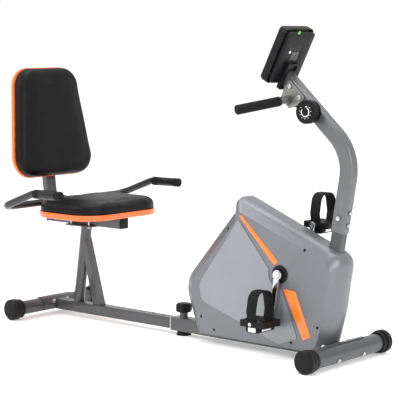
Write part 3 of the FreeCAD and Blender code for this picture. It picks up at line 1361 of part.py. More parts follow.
def console_board():
    body = new_body("console_board_body")
    sketch = new_sketch(body, "board_outline", "XY_Plane", "%s - 16" % FRONT_HIGH)
    rectangle(sketch, "(console_height / 2 - console_drop)", "0", "console_height - 14",
              "console_width - 14", "6")
    pad(body, "board_pad", sketch, "1.6")
    glass = new_sketch(body, "display_outline", "XY_Plane", "%s - 14.5" % FRONT_HIGH)
    rectangle(glass, SCREEN_UP, "0", "screen_height - 4", "screen_width - 4", "1")
    pad(body, "display_pad", glass, "14.2 - console_wall")
    return keep_console(body, "console_board")


def console_button():
    """Round mode button that sits in the lower part of the console's face."""
    body = new_body("console_button_body")
    sketch = new_sketch(body, "button_section", "XY_Plane", "%s - 9" % FRONT_HIGH)
    circle(sketch, BUTTON_UP, "0", "button_dia / 2 - button_gap")
    pad(body, "button_pad", sketch, "9 + button_proud")
    flange = new_sketch(body, "button_flange", "XY_Plane", "%s - 9" % FRONT_HIGH)
    circle(flange, BUTTON_UP, "0", "button_dia / 2 + 2.5")
    pad(body, "button_flange_pad", flange, "2")
    doc.recompute()
    top = value_of(FRONT_HIGH + " + button_proud")
    edges = ["Edge%d" % (i + 1) for i, edge in enumerate(body.Shape.Edges)
             if all(abs(vertex.Z - top) < 1e-6 for vertex in edge.Vertexes)]
    solid = body.Tip
    soft = body.newObject("PartDesign::Fillet", "button_round")
    soft.Base = (solid, edges)
    tie(soft, "Radius", "button_proud / 2")
    body.Tip = soft
    return keep_console(body, "console_button")


def console_mount():
    """Bracket plate between the arm's end and the console, with a plug inside the arm."""
    body = new_body("console_mount_body")
    sketch = new_sketch(body, "mount_outline", "XY_Plane", "0.1")
    rectangle(sketch, "mount_height / 2 - mount_drop", "0", "mount_height", "mount_width", "6")
    pad(body, "mount_pad", sketch, "mount_thick - 0.2")
    inset = new_sketch(body, "mount_inset", "XY_Plane", "0.1")
    rectangle(inset, "mount_height - mount_drop - 16", "0", "18", "mount_width - 16", "4")
    pocket(body, "mount_inset_cut", inset, "mount_thick / 2", reverse=True)
    return keep_console(body, "console_mount")


# ---------------------------------------------------------------------------
# Tension knob and cable
# ---------------------------------------------------------------------------
def knob_base():
    """Fixed housing of the tension control on the arm's right side."""
    x, z = arm_point("knob_along")
    start = "-(post_width / 2 + knob_base_depth)"
    drum = disc_y("knob_base_drum", "knob_base_dia / 2", start, "-(post_width / 2 + 0.1)", (x, z))
    foot = disc_y("knob_base_foot", "knob_base_dia / 2 + 5", "-(post_width / 2 + 4)",
                  "-(post_width / 2 + 0.1)", (x, z))
    hub = disc_y("knob_base_hub", "9", start + " - 8", start + " + 1", (x, z))
    screw = disc_y("knob_base_screw", "bolt_dia / 2", start + " + 2", "post_width / 2 + 4", (x, z))
    nut = disc_y("knob_base_nut", "bolt_dia", "post_width / 2 + 0.3", "post_width / 2 + 7", (x, z))
    return keep(fuse("tension_knob_base", drum, foot, hub, screw, nut), "tension_knob_base")


def tension_knob():
    """Grooved tension knob that turns on the base's hub."""
    x, z = arm_point("knob_along")
    inner = "-(post_width / 2 + knob_base_depth + knob_gap)"
    outer = "(%s - knob_depth)" % inner
    body = disc_y("tension_knob_drum", "knob_dia / 2", outer + " + 2.5", inner, (x, z))
    bevel = taper("tension_knob_bevel", "knob_dia / 2 - 2.5", "knob_dia / 2", "2.5",
                  (x, outer, z), "y")
    socket = disc_y("tension_knob_socket", "9.2", inner + " - 8", inner + " + 1", (x, z))
    grooves = []
    for index in range(24):
        gx = "%s + (knob_dia / 2 + 1.2) * cos(%d deg)" % (x, index * 15)
        gz = "%s + (knob_dia / 2 + 1.2) * sin(%d deg)" % (z, index * 15)
        grooves.append(disc_y("knob_groove%d" % index, "2.4", outer + " - 1", inner + " - 5",
                              (gx, gz)))
    dial = ring_y("knob_dial", "knob_dia / 2 - 6", "knob_dia / 2 - 7.5", outer + " - 1",
                  outer + " + 0.8", (x, z))
    pointer = block("knob_pointer", ("2.5", "1.8", "14"),
                    (x + " - 1.25", outer + " - 1", z + " + 10"))
    return keep(cut("tension_knob", fuse("tension_knob_solid", body, bevel), socket, dial,
                    pointer, *grooves), "tension_knob")


def tension_cable():
    """Steel cable inside the arm and post, from the knob down to the magnet bracket."""
    top = arm_point("knob_along - 16")
    inner = "(flywheel_dia / 2 + magnet_gap + 7)"
    x_end = "%s + (%s) * cos(66 deg)" % (WHEEL[0], inner)
    z_end = "%s + (%s) * sin(66 deg)" % (WHEEL[1], inner)
    low = "(%s + 34)" % z_end
    points = [(top[0], "0", top[1]), (BEND_X + " - cable_setback", "0", "post_bend_height"),
              (post_x(CABLE_EXIT) + " - cable_setback", "0", CABLE_EXIT),
              (x_end + " + 60", "0", low), (x_end, "0", z_end + " + 4")]
    return keep(computed("tension_cable", swept(points, "28", "cable_dia / 2")), "tension_cable")


# ---------------------------------------------------------------------------
# Front handlebar
# ---------------------------------------------------------------------------
BAR_OUT = "-(post_depth / 2 + bar_dia / 2 + 0.3)"
BAR_SPOT = arm_point("bar_along", BAR_OUT)


def bar_points(sign):
    x, z = BAR_SPOT
    return [("%s - bar_sweep" % x, "%sbar_half" % sign, "%s - bar_fall" % z),
            (x, "%sbar_middle" % sign, z)]


def handlebar():
    """Gently swept handlebar clamped under the arm."""
    right, left = bar_points("-"), bar_points("")
    points = right + left[::-1]
    shape = swept(points, "bar_bend", "bar_dia / 2", "bar_dia / 2 - bar_wall")
    return keep(computed("handlebar", shape), "handlebar")


def bar_grip(label, sign):
    """Foam grip with a closed end over the outer part of the handlebar."""
    end, start = bar_points(sign)
    a = FreeCAD.Vector(*[value_of(text) for text in end])
    b = FreeCAD.Vector(*[value_of(text) for text in start])
    along = (b - a).normalize()
    thick = 3
    solid = Part.makeCylinder(value_of("grip_dia / 2"), value_of("grip_length") + thick,
                              a - along * thick, along)
    ring = [edge for edge in solid.Edges if abs(edge.CenterOfMass.distanceToPoint(
        a - along * thick)) < 1e-3]
    solid = solid.makeFillet(2.5, ring)
    bore = Part.makeCylinder(value_of("bar_dia / 2 + grip_gap"), value_of("grip_length") + 1,
                             a - along * 0.2, along)
    return computed(label, solid.cut(bore))


def clamp_side(side):
    """One side plate of the handlebar clamp."""
    body = new_body("clamp_side_%d" % (side + 1))
    start = "%d * (post_width / 2 + post_clear)" % -side
    sketch = new_sketch(body, "clamp_outline_%d" % (side + 1), "XZ_Plane", start)
    low = "-(post_depth / 2 + bar_dia + 0.6 + clamp_plate)"
    corners = [arm_point("bar_along - 43", "14"), arm_point("bar_along + 39", "14"),
               arm_point("bar_along + 39", "-14"), arm_point("bar_along + 24", low),
               arm_point("bar_along - 24", low), arm_point("bar_along - 43", "-14")]
    outline(sketch, corners, ["5", "5", "8", "8", "8", "5"])
    pad(body, "clamp_plate_%d" % (side + 1), sketch, "clamp_plate", reverse=side > 0)
    holes = new_sketch(body, "clamp_holes_%d" % (side + 1), "XZ_Plane", "0")
    for along in ("bar_along - 29", "bar_along + 22"):
        x, z = arm_point(along)
        circle(holes, x, z, "bolt_dia / 2 + bolt_gap")
    circle(holes, BAR_SPOT[0], BAR_SPOT[1], "bar_dia / 2 + 0.2")
    pocket(body, "clamp_drill_%d" % (side + 1), holes, "200", both=True)
    return body


def handlebar_clamp():
    sides = [clamp_side(-1), clamp_side(1)]
    x, z = arm_point("bar_along", "-(post_depth / 2 + bar_dia + 0.6)")
    turn = FreeCAD.Rotation(FreeCAD.Vector(0, 1, 0), 42)
    bridge = block("clamp_bridge", ("40", "post_width + 2 * post_clear + 0.02", "clamp_plate"),
                   ("%s - 20 * cos(arm_rise * 1 deg) - clamp_plate * sin(arm_rise * 1 deg)" % x,
                    "-(post_width / 2 + post_clear + 0.01)",
                    "%s + 20 * sin(arm_rise * 1 deg) - clamp_plate * cos(arm_rise * 1 deg)" % z),
                   rotation=turn)
    tie(bridge, "Placement.Rotation.Angle", "arm_rise * 1 deg")
    return keep(fuse("handlebar_clamp", bridge, *sides), "handlebar_clamp")


def clamp_bolts():
    """Two bolts through the arm and the clamp's side plates."""
    bolts = []
    for tag, along in (("a", "bar_along - 29"), ("b", "bar_along + 22")):
        spot = arm_point(along)
        face = "(post_width / 2 + post_clear + clamp_plate + 0.2)"
        shank = disc_y("clamp_shank_" + tag, "bolt_dia / 2", "-" + face, face, spot)
        head = disc_y("clamp_head_" + tag, "bolt_dia * 0.85", "-%s - 5" % face, "-" + face, spot)
        nut = disc_y("clamp_nut_" + tag, "bolt_dia * 0.85", face, face + " + 6", spot)
        bolts.append(fuse("clamp_bolt_" + tag, shank, head, nut))
    return bolts


# ---------------------------------------------------------------------------
# Sliding seat frame
# ---------------------------------------------------------------------------
def rear_beam():
    """Inner square beam with a row of lock holes and a saddle at its rear end."""
    rear = "-wheelbase + rear_tube_dia / 2 + saddle_gap + saddle_wall / 2"
    beam = square_tube_x("rear_beam_tube", "beam_size", "beam_wall", rear, "-beam_front", AXIS_Z)
    relief = rod("rear_beam_relief", "rear_tube_dia / 2 + saddle_gap", "beam_size + 2",
                 ("-wheelbase", "-beam_size / 2 - 1", AXIS_Z), "y")
    holes = [rod("lock_hole%d" % index, "hole_dia / 2", "beam_size / 2 + 5",
                 ("%s - %d * hole_pitch" % (LOCK_X, index), "0", AXIS_Z))
             for index in range(-2, 5)]
    plate = saddle("rear_saddle", "rear_tube_dia", "-wheelbase", "rear_saddle_span", -25, 130,
                   "rear_bolt_spacing", "rear_bolt_tilt", 1)
    return keep(cut("rear_beam", fuse("rear_beam_solid", beam, plate), relief, *holes),
                "rear_beam")


def leaning_rod(name, radius, low, high, low_x, high_x):
    """Round rod from (low_x, low) to (high_x, high) in the middle plane, cut level."""
    angle = "atan(((%s) - (%s)) / ((%s) - (%s)))" % (high_x, low_x, high, low)
    length = "sqrt(((%s) - (%s)) ^ 2 + ((%s) - (%s)) ^ 2)" % (high_x, low_x, high, low)
    extra = 30
    start = ("%s - %d * sin(%s)" % (low_x, extra, angle), "0",
             "%s - %d * cos(%s)" % (low, extra, angle))
    item = rod(name + "_long", radius, "%s + %d" % (length, 2 * extra), start,
               rotation=FreeCAD.Rotation(FreeCAD.Vector(0, 1, 0), 5))
    tie(item, "Placement.Rotation.Angle", angle)
    slab = block(name + "_slab", ("400", "200", "(%s) - (%s)" % (high, low)),
                 ("%s - 200" % low_x, "-100", low))
    common = add("Part::MultiCommon", name)
    common.Shapes = [item, slab]
    return common


SEAT_TUBE_LOW = "(seat_tube_height - seat_tube_size / 2)"
SEAT_TUBE_TOP = "(seat_tube_height + seat_tube_size / 2)"


def seat_post():
    """Leaning round post from the seat beam up to the seat tube, with a bearing plate."""
    top = "(%s - seat_plate)" % SEAT_TUBE_LOW
    tube = leaning_rod("seat_post_tube", "seat_post_dia / 2", BEAM_TOP, top,
                       "-seat_post_x", "-seat_post_top_x")
    bore = leaning_rod("seat_post_bore", "seat_post_dia / 2 - seat_post_wall", BEAM_TOP, top,
                       "-seat_post_x", "-seat_post_top_x")
    plate = block("seat_plate_block", ("130", "86", "seat_plate"),
                  ("-seat_post_top_x - 72", "-43", top))
    doc.recompute()
    plate = rounded("seat_plate_round", plate, "6", runs_along("z"))
    holes = [rod("seat_plate_hole%d" % index, "3.2", "seat_plate + 2",
                 ("-seat_post_top_x + %d" % dx, str(dy), "%s - 1" % top))
             for index, (dx, dy) in enumerate(SEAT_BOLTS)]
    plate = cut("seat_plate_drilled", plate, *holes)
    pipe = cut("seat_post_pipe", tube, bore)
    return keep(fuse("seat_post", pipe, plate, seat_strut()), "seat_post")


def seat_strut():
    """Diagonal strut from the seat beam to the front of the seat post."""
    body = new_body("seat_strut_body")
    sketch = new_sketch(body, "strut_side", "XZ_Plane", "0")
    low, high = BEAM_TOP, "strut_head_height"
    outline(sketch, [("-strut_foot_x - strut_depth / 2", low),
                     ("-strut_foot_x + strut_depth / 2", low),
                     ("-strut_head_x + strut_depth / 2 - 2", high + " + 32"),
                     ("-strut_head_x - 2", high + " + 32"), ("-strut_head_x - 2", high)])
    pad(body, "strut_pad", sketch, "strut_width", both=True)
    post_rod = leaning_rod("strut_notch", "seat_post_dia / 2", BEAM_TOP, SEAT_TUBE_LOW,
                           "-seat_post_x", "-seat_post_top_x")
    rear_side = block("strut_rear", ("100", "200", "600"),
                      ("-seat_post_x - 100 + 2", "-100", "0"))
    return cut("seat_strut", body, post_rod, rear_side)


def seat_tube():
    """Square tube along the seat, mitred at the rear against the leaning back tube."""
    tube = square_tube_x("seat_tube_pipe", "seat_tube_size", "seat_tube_wall",
                         "-seat_tube_rear - 4", "-seat_tube_front", "seat_tube_height")
    lean_sin, lean_cos = "sin(back_lean * 1 deg)", "cos(back_lean * 1 deg)"
    face_x = "(%s + back_tube_deep / 2 / %s)" % (BACK_FOOT_X, lean_cos)
    behind = block("seat_tube_mitre", ("60", "2 * seat_tube_size", "4 * seat_tube_size"),
                   ("%s - 60 * %s + 2 * seat_tube_size * %s" % (face_x, lean_cos, lean_sin),
                    "-seat_tube_size",
                    "seat_tube_height - 60 * %s - 2 * seat_tube_size * %s"
                    % (lean_sin, lean_cos)), rotation=LEAN_TURN)
    tie(behind, "Placement.Rotation.Angle", "back_lean * 1 deg")
    return keep(cut("seat_tube", tube, behind), "seat_tube")


def seat_tube_plug():
    """Plastic plug in the front end of the seat tube."""
    inner = "(seat_tube_size - 2 * seat_tube_wall - 0.2)"
    head = block("plug_head", ("5", "seat_tube_size", "seat_tube_size"),
                 ("-seat_tube_front + 0.1", "-seat_tube_size / 2", SEAT_TUBE_LOW))
    doc.recompute()
    head = rounded("plug_head_round", head, "3", runs_along("x"))
    stem = block("plug_stem", ("22", inner, inner),
                 ("-seat_tube_front - 21", "-%s / 2" % inner,
                  "seat_tube_height - %s / 2" % inner))
    return keep(fuse("seat_tube_plug", head, stem), "seat_tube_plug")


SEAT_BOLTS = [(-50, -30), (-50, 30), (40, -30), (40, 30)]
LEAN_TURN = FreeCAD.Rotation(FreeCAD.Vector(0, -1, 0), 5)
BACK_FOOT_X = "(-seat_tube_rear - back_tube_deep / 2)"


def keep_leaning(item, label, height, ahead="0"):
    """Register a piece drawn upright on the back tube's line, then leaned back."""
    item.Placement.Rotation = LEAN_TURN
    keep(item, label)
    tie(item, "Placement.Rotation.Angle", "back_lean * 1 deg")
    x = "%s + %s - ((%s) - seat_tube_height) * tan(back_lean * 1 deg) + %s"
    tie(item, "Placement.Base.x", x % (SHIFT, BACK_FOOT_X, height, ahead))
    tie(item, "Placement.Base.z", height)
    return item


def back_tube():
    """Flat tube that leans back behind the backrest, with brackets for the side handlebar."""
    body = new_body("back_tube_body")
    sketch = new_sketch(body, "back_tube_section", "XY_Plane", "-seat_tube_size / 2")
    rectangle(sketch, "0", "0", "back_tube_deep", "back_tube_wide", "5")
    rectangle(sketch, "0", "0", "back_tube_deep - 2 * seat_tube_wall",
              "back_tube_wide - 2 * seat_tube_wall", "3")
    pad(body, "back_tube_pad", sketch, "back_tube_rise")
    bracket = new_sketch(body, "bar_bracket", "XZ_Plane", "0")
    reach = "(side_back_x * (-1) - side_dia / 2 + 0.5 - %s)" % BACK_FOOT_X
    rise = "(side_low - seat_tube_height)"
    outline(bracket, [("back_tube_deep / 2 - 1", "%s - bracket_height / 2" % rise),
                      ("%s + %s * tan(back_lean * 1 deg) - 2" % (reach, rise),
                       "%s - bracket_height / 2 + 6" % rise),
                      ("%s + %s * tan(back_lean * 1 deg) - 2" % (reach, rise),
                       "%s + bracket_height / 2 - 10" % rise),
                      ("back_tube_deep / 2 - 1", "%s + bracket_height / 2" % rise)])
    pad(body, "bar_bracket_pad", bracket, "back_tube_wide", both=True)
    return keep_leaning(body, "back_tube", "seat_tube_height")


def slab_outline(body, tag, role, offset, corners, radii):
    sketch = new_sketch(body, tag, role, offset)
    return outline(sketch, corners, radii)


def seat_layer(label, low, high, shrink, corner):
    body = new_body(label + "_body")
    sketch = new_sketch(body, label + "_outline", "XY_Plane", low)
    rectangle(sketch, "-seat_front_x - seat_depth / 2", "0",
              "seat_depth - 2 * %s" % shrink, "seat_width - 2 * %s" % shrink,
              "%s - %s" % (corner, shrink))
    pad(body, label + "_pad", sketch, "(%s) - (%s)" % (high, low))
    return body


def soften(body, label, radius, height, axis="Z"):
    """Round the rim of a cushion at one end of its thickness."""
    doc.recompute()
    edges = ["Edge%d" % (i + 1) for i, edge in enumerate(body.Shape.Edges)
             if all(abs(getattr(vertex, axis) - value_of(height)) < 1e-6
                    for vertex in edge.Vertexes)]
    solid = body.Tip
    item = body.newObject("PartDesign::Fillet", label)
    item.Base = (solid, edges)
    tie(item, "Radius", radius)
    body.Tip = item
    return item


def seat_board():
    body = seat_layer("seat_board", "seat_height", "seat_height + seat_board", "0", "seat_corner")
    soften(body, "seat_board_edge", "5", "seat_height")
    holes = new_sketch(body, "seat_board_holes", "XY_Plane", "seat_height")
    for dx, dy in SEAT_BOLTS:
        circle(holes, "-seat_post_top_x + %d" % dx, str(dy), "3.2")
    pocket(body, "seat_board_drill", holes, "8", reverse=True)
    return keep(body, "seat_board")


def seat_pad():
    low = "(seat_height + seat_board + cushion_gap)"
    body = seat_layer("seat_pad", low, low + " + seat_foam", "3", "seat_corner")
    soften(body, "seat_pad_edge", "seat_foam * 0.6", low + " + seat_foam")
    return keep(body, "seat_pad")


def back_layer(label, near, far, shrink):
    """Tapered rounded slab standing on the backrest's lower edge."""
    body = new_body(label + "_body")
    low = "(%s - 1)" % shrink if shrink != "0" else "0"
    corners = [("-back_width_low / 2 + %s" % shrink, low),
               ("-back_width_high / 2 + %s" % shrink, "back_length - %s" % shrink),
               ("back_width_high / 2 - %s" % shrink, "back_length - %s" % shrink),
               ("back_width_low / 2 - %s" % shrink, low)]
    sketch = slab_outline(body, label + "_outline", "YZ_Plane", near, corners,
                          ["back_corner - %s" % shrink] * 4)
    pad(body, label + "_pad", sketch, "(%s) - (%s)" % (far, near))
    return body


def back_board():
    body = back_layer("back_board", "0", "back_board", "0")
    soften(body, "back_board_edge", "4", "0", "X")
    return keep_leaning(body, "back_board", "back_low", "back_tube_deep / 2 / cos(back_lean * 1 deg)")


def back_pad():
    body = back_layer("back_pad", "back_board + cushion_gap", "back_board + cushion_gap + back_foam",
                      "3")
    soften(body, "back_pad_edge", "back_foam * 0.6", "back_board + cushion_gap + back_foam", "X")
    return keep_leaning(body, "back_pad", "back_low", "back_tube_deep / 2 / cos(back_lean * 1 deg)")


# ---------------------------------------------------------------------------
# Side handlebar beside the seat
# ---------------------------------------------------------------------------
def side_points(sign):
    return [("-side_front_x", sign + "side_half", "side_high + 2"),
            ("-side_crest_x", sign + "side_half", "side_high"),
            ("-side_back_x", sign + "side_half", "side_low")]


def side_handlebar():
    """Tube behind the seat that turns forwards at each side, rises and runs level."""
    points = side_points("-") + side_points("")[::-1]
    shape = swept(points, "side_bend", "side_dia / 2", "side_dia / 2 - bar_wall")
    return keep(computed("side_handlebar", shape), "side_handlebar")


def side_grip(label, sign):
    """Foam grip with a closed end over the level part of the side handlebar."""
    spots = side_points(sign)
    a = FreeCAD.Vector(*[value_of(text) for text in spots[0]])
    b = FreeCAD.Vector(*[value_of(text) for text in spots[1]])
    along = (b - a).normalize()
    solid = Part.makeCylinder(value_of("grip_dia / 2"), value_of("side_grip_length + 3"),
                              a - along * 3, along)
    ring = [edge for edge in solid.Edges
            if edge.CenterOfMass.distanceToPoint(a - along * 3) < 1e-3]
    solid = solid.makeFillet(2.5, ring)
    bore = Part.makeCylinder(value_of("side_dia / 2 + grip_gap"), value_of("side_grip_length + 1"),
                             a - along * 0.2, along)
    solid = solid.cut(bore)
    window = Part.makeCylinder(50, value_of("sensor_length + 1"), a + along * 19.5, along)
    window = window.cut(Part.makeCylinder(value_of("grip_dia / 2 - 1.2"),
                                          value_of("sensor_length + 1"), a + along * 19.5, along))
    return computed(label, solid.cut(window))


def pulse_sensors():
    """Metal contact sleeves let into both side grips."""
    rings = []
    for tag, sign in (("a", "-"), ("b", "")):
        spots = side_points(sign)
        rings.append(computed("sensor_" + tag, cut_at(
            spots, "0", "20", "20 + sensor_length", "grip_dia / 2", "grip_dia / 2 - 1.1")))
    return keep(group("pulse_sensors", *rings), "pulse_sensors")


def seat_bolts():
    """Four bolts up through the bearing plate and the seat tube into the seat board."""
    bolts = []
    for index, (dx, dy) in enumerate(SEAT_BOLTS):
        x = "-seat_post_top_x + %d" % dx
        shank = rod("seat_shank%d" % index, "3", "%s - %s + seat_plate + 6" % (
            "seat_height", SEAT_TUBE_LOW), (x, str(dy), "%s - seat_plate - 1" % SEAT_TUBE_LOW))
        head = rod("seat_head%d" % index, "6", "4.5",
                   (x, str(dy), "%s - seat_plate - 4.5" % SEAT_TUBE_LOW))
        bolts.append(fuse("seat_bolt%d" % index, shank, head))
    return keep(group("seat_bolts", *bolts), "seat_bolts")


# ---------------------------------------------------------------------------
# Build everything
# ---------------------------------------------------------------------------
def build_floor():
    front = ("front_tube_dia", "front_tube_span", "0")
    rear = ("rear_tube_dia", "rear_tube_span", "-wheelbase")
    floor_tube("front_stabilizer", *front, "front_bolt_spacing", "front_bolt_tilt", -1)
    floor_tube("rear_stabilizer", *rear, "rear_bolt_spacing", "rear_bolt_tilt", 1)
    floor_bolts("front_bolts", "front_tube_dia", "0", "front_bolt_spacing", "front_bolt_tilt", -1)
    floor_bolts("rear_bolts", "rear_tube_dia", "-wheelbase", "rear_bolt_spacing",
                "rear_bolt_tilt", 1)
    end_caps("front_caps", *front)
    end_caps("rear_caps", *rear)


def build_front():
    main_frame()
    sleeve_liner()
    middle_foot()
    lock_knob()
    post()
    post_bolts()
    shell_half("shell_right", -1)
    shell_half("shell_left", 1)
    shell_screws()
    housing_trim()


def build_drive():
    bearings()
    crank_rings()
    crank_axle()
    drive_pulley()
    crank_arm("crank_right", -1)
    crank_arm("crank_left", 1)
    crank_hardware()
    for side, name in ((-1, "right"), (1, "left")):
        pedal("pedal_" + name, side)
        pedal_strap("strap_" + name, side)
    flywheel()
    flywheel_axle()
    belt()
    idler()
    idler_arm()
    magnet_bracket()


def build_controls():
    console_mount()
    console_back()
    battery_door()
    console_front()
    console_lens()
    console_board()
    console_button()
    knob_base()
    tension_knob()
    tension_cable()
    handlebar()
    grips = [bar_grip("grip_right", "-"), bar_grip("grip_left", "")]
    keep(group("front_grips", *grips), "front_grips")
    handlebar_clamp()


def build_seat():
    rear_beam()
    seat_post()
    seat_tube()
    seat_tube_plug()
    back_tube()
    seat_board()
    seat_pad()
    back_board()
    back_pad()
    side_handlebar()
    grips = [side_grip("side_grip_right", "-"), side_grip("side_grip_left", "")]
    keep(group("side_grips", *grips), "side_grips")
    pulse_sensors()
    seat_bolts()


def check_and_write():
    """Recompute, look for failed objects and bad shapes, then write one file per sub-part."""
    doc.recompute()
    failed = [item.Name for item in doc.Objects
              if "Invalid" in item.State or "Error" in item.State]
    for item in NODES:
        if item.Shape.isNull() or not item.Shape.isValid():
            failed.append(item.Label + " (shape)")
    if failed:
        raise RuntimeError("failed: " + ", ".join(failed))
    for item in NODES:
        item.Shape.exportStep("parts/%s.step" % item.Label)
    print(len(NODES), "sub-parts written")


build_floor()
build_front()
build_drive()
build_controls()
build_seat()
check_and_write()
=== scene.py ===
"""Looks of the recumbent exercise bike: materials, stuffed cushions and small visible details.

Metres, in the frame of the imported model: +X forwards, +Y to the rider's left, +Z up.
"""

import itertools
import json
import math

import bmesh
import bpy
import numpy as np
from mathutils import Matrix, Vector


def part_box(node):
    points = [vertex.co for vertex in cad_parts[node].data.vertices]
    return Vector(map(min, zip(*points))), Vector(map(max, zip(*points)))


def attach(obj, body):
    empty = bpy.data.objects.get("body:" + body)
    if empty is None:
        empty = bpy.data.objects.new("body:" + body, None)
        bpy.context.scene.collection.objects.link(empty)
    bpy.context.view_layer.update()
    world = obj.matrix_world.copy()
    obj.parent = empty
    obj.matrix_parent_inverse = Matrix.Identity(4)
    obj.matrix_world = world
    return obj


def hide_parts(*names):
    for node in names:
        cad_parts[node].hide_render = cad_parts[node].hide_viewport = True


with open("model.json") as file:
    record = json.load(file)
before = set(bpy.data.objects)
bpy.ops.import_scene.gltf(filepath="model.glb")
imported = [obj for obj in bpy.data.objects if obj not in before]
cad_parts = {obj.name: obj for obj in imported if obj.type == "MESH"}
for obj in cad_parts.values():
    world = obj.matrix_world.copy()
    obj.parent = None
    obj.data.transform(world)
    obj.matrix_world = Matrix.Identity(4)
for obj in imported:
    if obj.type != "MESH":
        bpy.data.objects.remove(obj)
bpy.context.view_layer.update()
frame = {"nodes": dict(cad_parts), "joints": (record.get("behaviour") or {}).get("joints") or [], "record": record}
NODES = frame["nodes"]
JOINTS = {joint["name"]: joint for joint in frame["joints"]}
SCENE = bpy.context.scene

MM = 0.001
BACK_LEAN = math.radians(8)          # the backrest's lean from the vertical
CUSHION_VOXEL = 5 * MM
CUSHION_PRESSURE = 4
CUSHION_FRAMES = 20
TAUT_STEPS = 30
DARK_SHINE = 0.16                    # low, so that black stays black in a white room
CROWN = 8 * MM                       # how far a cushion may swell


def srgb(red, green, blue):
    """Linear colour of an 8-bit screen colour."""
    def linear(value):
        value /= 255
        return value / 12.92 if value <= 0.04045 else ((value + 0.055) / 1.055) ** 2.4
    return linear(red), linear(green), linear(blue), 1.0


def scaled(color, factor):
    return tuple(min(1.0, channel * factor) for channel in color[:3]) + (1.0,)


# ---------------------------------------------------------------------------
# Material building blocks
# ---------------------------------------------------------------------------
class Finish:
    """A procedural material under construction, in the frame's own coordinates."""

    def __init__(self, name, metallic=0.0, roughness=0.5, coat=0.0, coat_roughness=0.1, sheen=0.0,
                 specular=0.5):
        self.material = bpy.data.materials.new(name)
        self.material.use_nodes = True
        self.nodes = self.material.node_tree.nodes
        self.links = self.material.node_tree.links
        self.shader = self.nodes["Principled BSDF"]
        self.shader.inputs["Metallic"].default_value = metallic
        self.shader.inputs["Roughness"].default_value = roughness
        self.shader.inputs["Coat Weight"].default_value = coat
        self.shader.inputs["Coat Roughness"].default_value = coat_roughness
        self.shader.inputs["Sheen Weight"].default_value = sheen
        self.shader.inputs["Specular IOR Level"].default_value = specular
        self.place = self.nodes.new("ShaderNodeTexCoord").outputs["Object"]
        self.bump = None

    def noise(self, scale, detail=3, stretch=None):
        """Noise value between 0 and 1; stretch scales the axes for a brushed look."""
        source = self.place
        if stretch:
            mapping = self.nodes.new("ShaderNodeMapping")
            mapping.inputs["Scale"].default_value = stretch
            self.links.new(source, mapping.inputs["Vector"])
            source = mapping.outputs["Vector"]
        node = self.nodes.new("ShaderNodeTexNoise")
        node.inputs["Scale"].default_value = scale
        node.inputs["Detail"].default_value = detail
        self.links.new(source, node.inputs["Vector"])
        return node.outputs["Fac"]

    def cells(self, scale, feature="F1"):
        """Distance field of irregular cells."""
        node = self.nodes.new("ShaderNodeTexVoronoi")
        node.feature = feature
        node.inputs["Scale"].default_value = scale
        self.links.new(self.place, node.inputs["Vector"])
        return node.outputs["Distance"]

    def ranged(self, value, low, high, start=0.3, stop=0.7):
        node = self.nodes.new("ShaderNodeMapRange")
        node.inputs["From Min"].default_value = start
        node.inputs["From Max"].default_value = stop
        node.inputs["To Min"].default_value = low
        node.inputs["To Max"].default_value = high
        self.links.new(value, node.inputs["Value"])
        return node.outputs["Result"]

    def blend(self, factor, first, second):
        """Mix of two colours, each a constant or an output."""
        node = self.nodes.new("ShaderNodeMix")
        node.data_type = "RGBA"
        self.links.new(factor, node.inputs["Factor"])
        for name, color in (("A", first), ("B", second)):
            socket = next(s for s in node.inputs if s.name == name and s.type == "RGBA")
            if isinstance(color, tuple):
                socket.default_value = color
            else:
                self.links.new(color, socket)
        return next(s for s in node.outputs if s.type == "RGBA")

    def mottle(self, color, scale, spread):
        """The colour, slightly lighter and darker in patches."""
        factor = self.ranged(self.noise(scale), 0, 1)
        return self.blend(factor, scaled(color, 1 - spread), scaled(color, 1 + spread))

    def colored(self, output):
        self.links.new(output, self.shader.inputs["Base Color"])
        return self

    def gloss(self, scale, low, high):
        self.links.new(self.ranged(self.noise(scale), low, high), self.shader.inputs["Roughness"])
        return self

    def relief(self, value, strength, depth):
        """Add a layer of fine surface relief."""
        node = self.nodes.new("ShaderNodeBump")
        node.inputs["Strength"].default_value = strength
        node.inputs["Distance"].default_value = depth
        self.links.new(value, node.inputs["Height"])
        if self.bump:
            self.links.new(self.bump, node.inputs["Normal"])
        self.bump = node.outputs["Normal"]
        self.links.new(self.bump, self.shader.inputs["Normal"])
        return self


# ---------------------------------------------------------------------------
# Materials
# ---------------------------------------------------------------------------
def metallic_paint(name, color, flake=0.22):
    """Dark powder coat with fine metal flake and a slight orange-peel surface."""
    finish = Finish(name, metallic=0.55, roughness=0.36, coat=0.35, coat_roughness=0.22)
    base = finish.mottle(color, 14, 0.06)
    spark = finish.ranged(finish.cells(2600), 1, 0, 0.0, 0.35)
    finish.colored(finish.blend(spark, base, scaled(color, 1 + flake)))
    finish.gloss(35, 0.30, 0.42)
    return finish.relief(finish.noise(420), 0.10, 0.2 * MM).material


